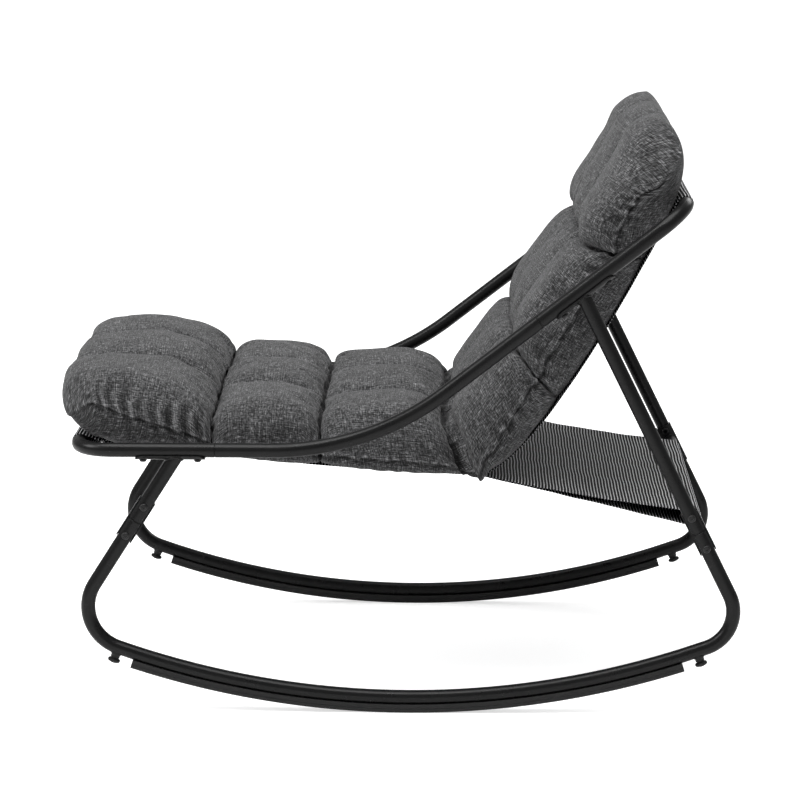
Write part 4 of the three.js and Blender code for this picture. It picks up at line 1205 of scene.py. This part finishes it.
def build_cushion():
    c = Cushion(6.0, 2.0, 62, 40, 0.34)
    rough = Cushion(10.0, 10.0, 32, 24, 1.0, slim=0.93)
    move = fill_cushion(rough.mesh("cushion_fill"), rough.held())
    c.take(rough, move.reshape(len(rough.rows), rough.count, 3))
    c.level()
    obj = c.mesh("cushion")
    count = len(obj.data.vertices)
    place, normal = np.empty(count * 3), np.empty(count * 3, np.float32)
    obj.data.vertices.foreach_get("co", place)
    obj.data.vertex_normals.foreach_get("vector", normal)
    out, fold = creases(c)
    place = place.reshape(-1, 3) + normal.reshape(-1, 3) * (out.reshape(-1, 1) * MM)
    obj.data.vertices.foreach_set("co", place.ravel())
    obj.data.update()
    # The painted shade and painted highlight of the folds, which the cloth's colour reads
    shade = obj.data.attributes.new("fold", "FLOAT", "POINT")
    shade.data.foreach_set("value", fold.astype(np.float32).ravel())
    mod = obj.modifiers.new("smooth", "SUBSURF")
    mod.levels = mod.render_levels = 1
    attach(obj, "frame")
    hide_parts("lounge_cushion")


# Camera in millimetres and degrees, lamps and floor in metres
CAMERA_AT = (95.2, -4748.1, 1391.5)
CAMERA_DOWN = 11.51
CAMERA_LEFT = 1.33
SENSOR = 36
LENS = 135
WHITE = (1, 1, 1, 1)
FLOOR_HALF = 30.0
FLOOR_GLOW = 0.62
LAMPS = (("top_box", (-0.2, -0.4, 3.4), (0, 0, 0.4), (2.6, 1.8), 54),
         ("key_box", (-3.0, -0.9, 2.6), (0, 0, 0.5), (1.6, 1.6), 54),
         ("rear_box", (1.8, 2.6, 2.2), (0.1, 0, 0.5), (1.8, 1.2), 22),
         ("strip", (-0.6, -1.2, 3.0), (0, 0, 0.4), (3.0, 0.2), 24))


def add_camera(scene):
    data = bpy.data.cameras.new("camera")
    data.sensor_width, data.lens = SENSOR, LENS
    data.clip_start, data.clip_end = 0.1, 100
    camera = bpy.data.objects.new("camera", data)
    camera.location = Vector(CAMERA_AT) * MM + SHIFT
    camera.rotation_euler = (rad(90 - CAMERA_DOWN), 0, rad(CAMERA_LEFT))
    scene.collection.objects.link(camera)
    scene.camera = camera


def add_world(scene):
    """Light from above that fades downwards, dimmer in what shines and plain white to the camera."""
    scene.world = bpy.data.worlds.new("studio")
    w = Nodes(scene.world)
    up = w.add("SeparateXYZ", {0: w.add("TexCoord").outputs["Generated"]}).outputs["Z"]
    level = w.span(up, -0.05, 0.9, 0.1, 0.9, interpolation_type="SMOOTHSTEP")
    path = w.add("LightPath").outputs
    strength = w.add("Mix", {"Factor": path["Is Glossy Ray"], "A": level, "B": 0.31}).outputs["Result"]
    light = w.add("Background", {"Color": WHITE, "Strength": strength})
    seen = w.add("Background", {"Color": WHITE, "Strength": 1.0})
    w.surface("World Output", w.add("MixShader", {"Fac": path["Is Camera Ray"], 1: light, 2: seen}))


def add_lamp(scene, name, place, target, size, power):
    data = bpy.data.lights.new(name, "AREA")
    data.shape = "RECTANGLE"
    data.size, data.size_y = size
    data.energy = power
    lamp = bpy.data.objects.new(name, data)
    lamp.location = place
    lamp.rotation_euler = (Vector(target) - Vector(place)).to_track_quat("-Z", "Y").to_euler()
    scene.collection.objects.link(lamp)


def add_floor(scene):
    """A pale floor that glows a little to the camera, so that it meets the white behind it."""
    m = Nodes(bpy.data.materials.new("floor"))
    m.set(Base_Color=(0.86, 0.86, 0.86, 1), Roughness=0.9, Specular_IOR_Level=0.0)
    strength = m.times(m.add("LightPath").outputs["Is Camera Ray"], FLOOR_GLOW)
    glow = m.add("Emission", {"Color": WHITE, "Strength": strength})
    m.surface("Material Output", m.add("AddShader", {0: m.shader, 1: glow}))
    mesh = bpy.data.meshes.new("floor")
    corners = [(x * FLOOR_HALF, y * FLOOR_HALF, 0) for x, y in ((-1, -1), (1, -1), (1, 1), (-1, 1))]
    mesh.from_pydata(corners, [], [(0, 1, 2, 3)])
    mesh.materials.append(m.owner)
    floor = bpy.data.objects.new("floor", mesh)
    scene.collection.objects.link(floor)


def build_studio():
    scene = bpy.context.scene
    scene.view_settings.view_transform = "Standard"
    add_camera(scene)
    add_world(scene)
    for lamp in LAMPS:
        add_lamp(scene, *lamp)
    add_floor(scene)


build_studio()
build_frame()
build_slings()
build_cushion()
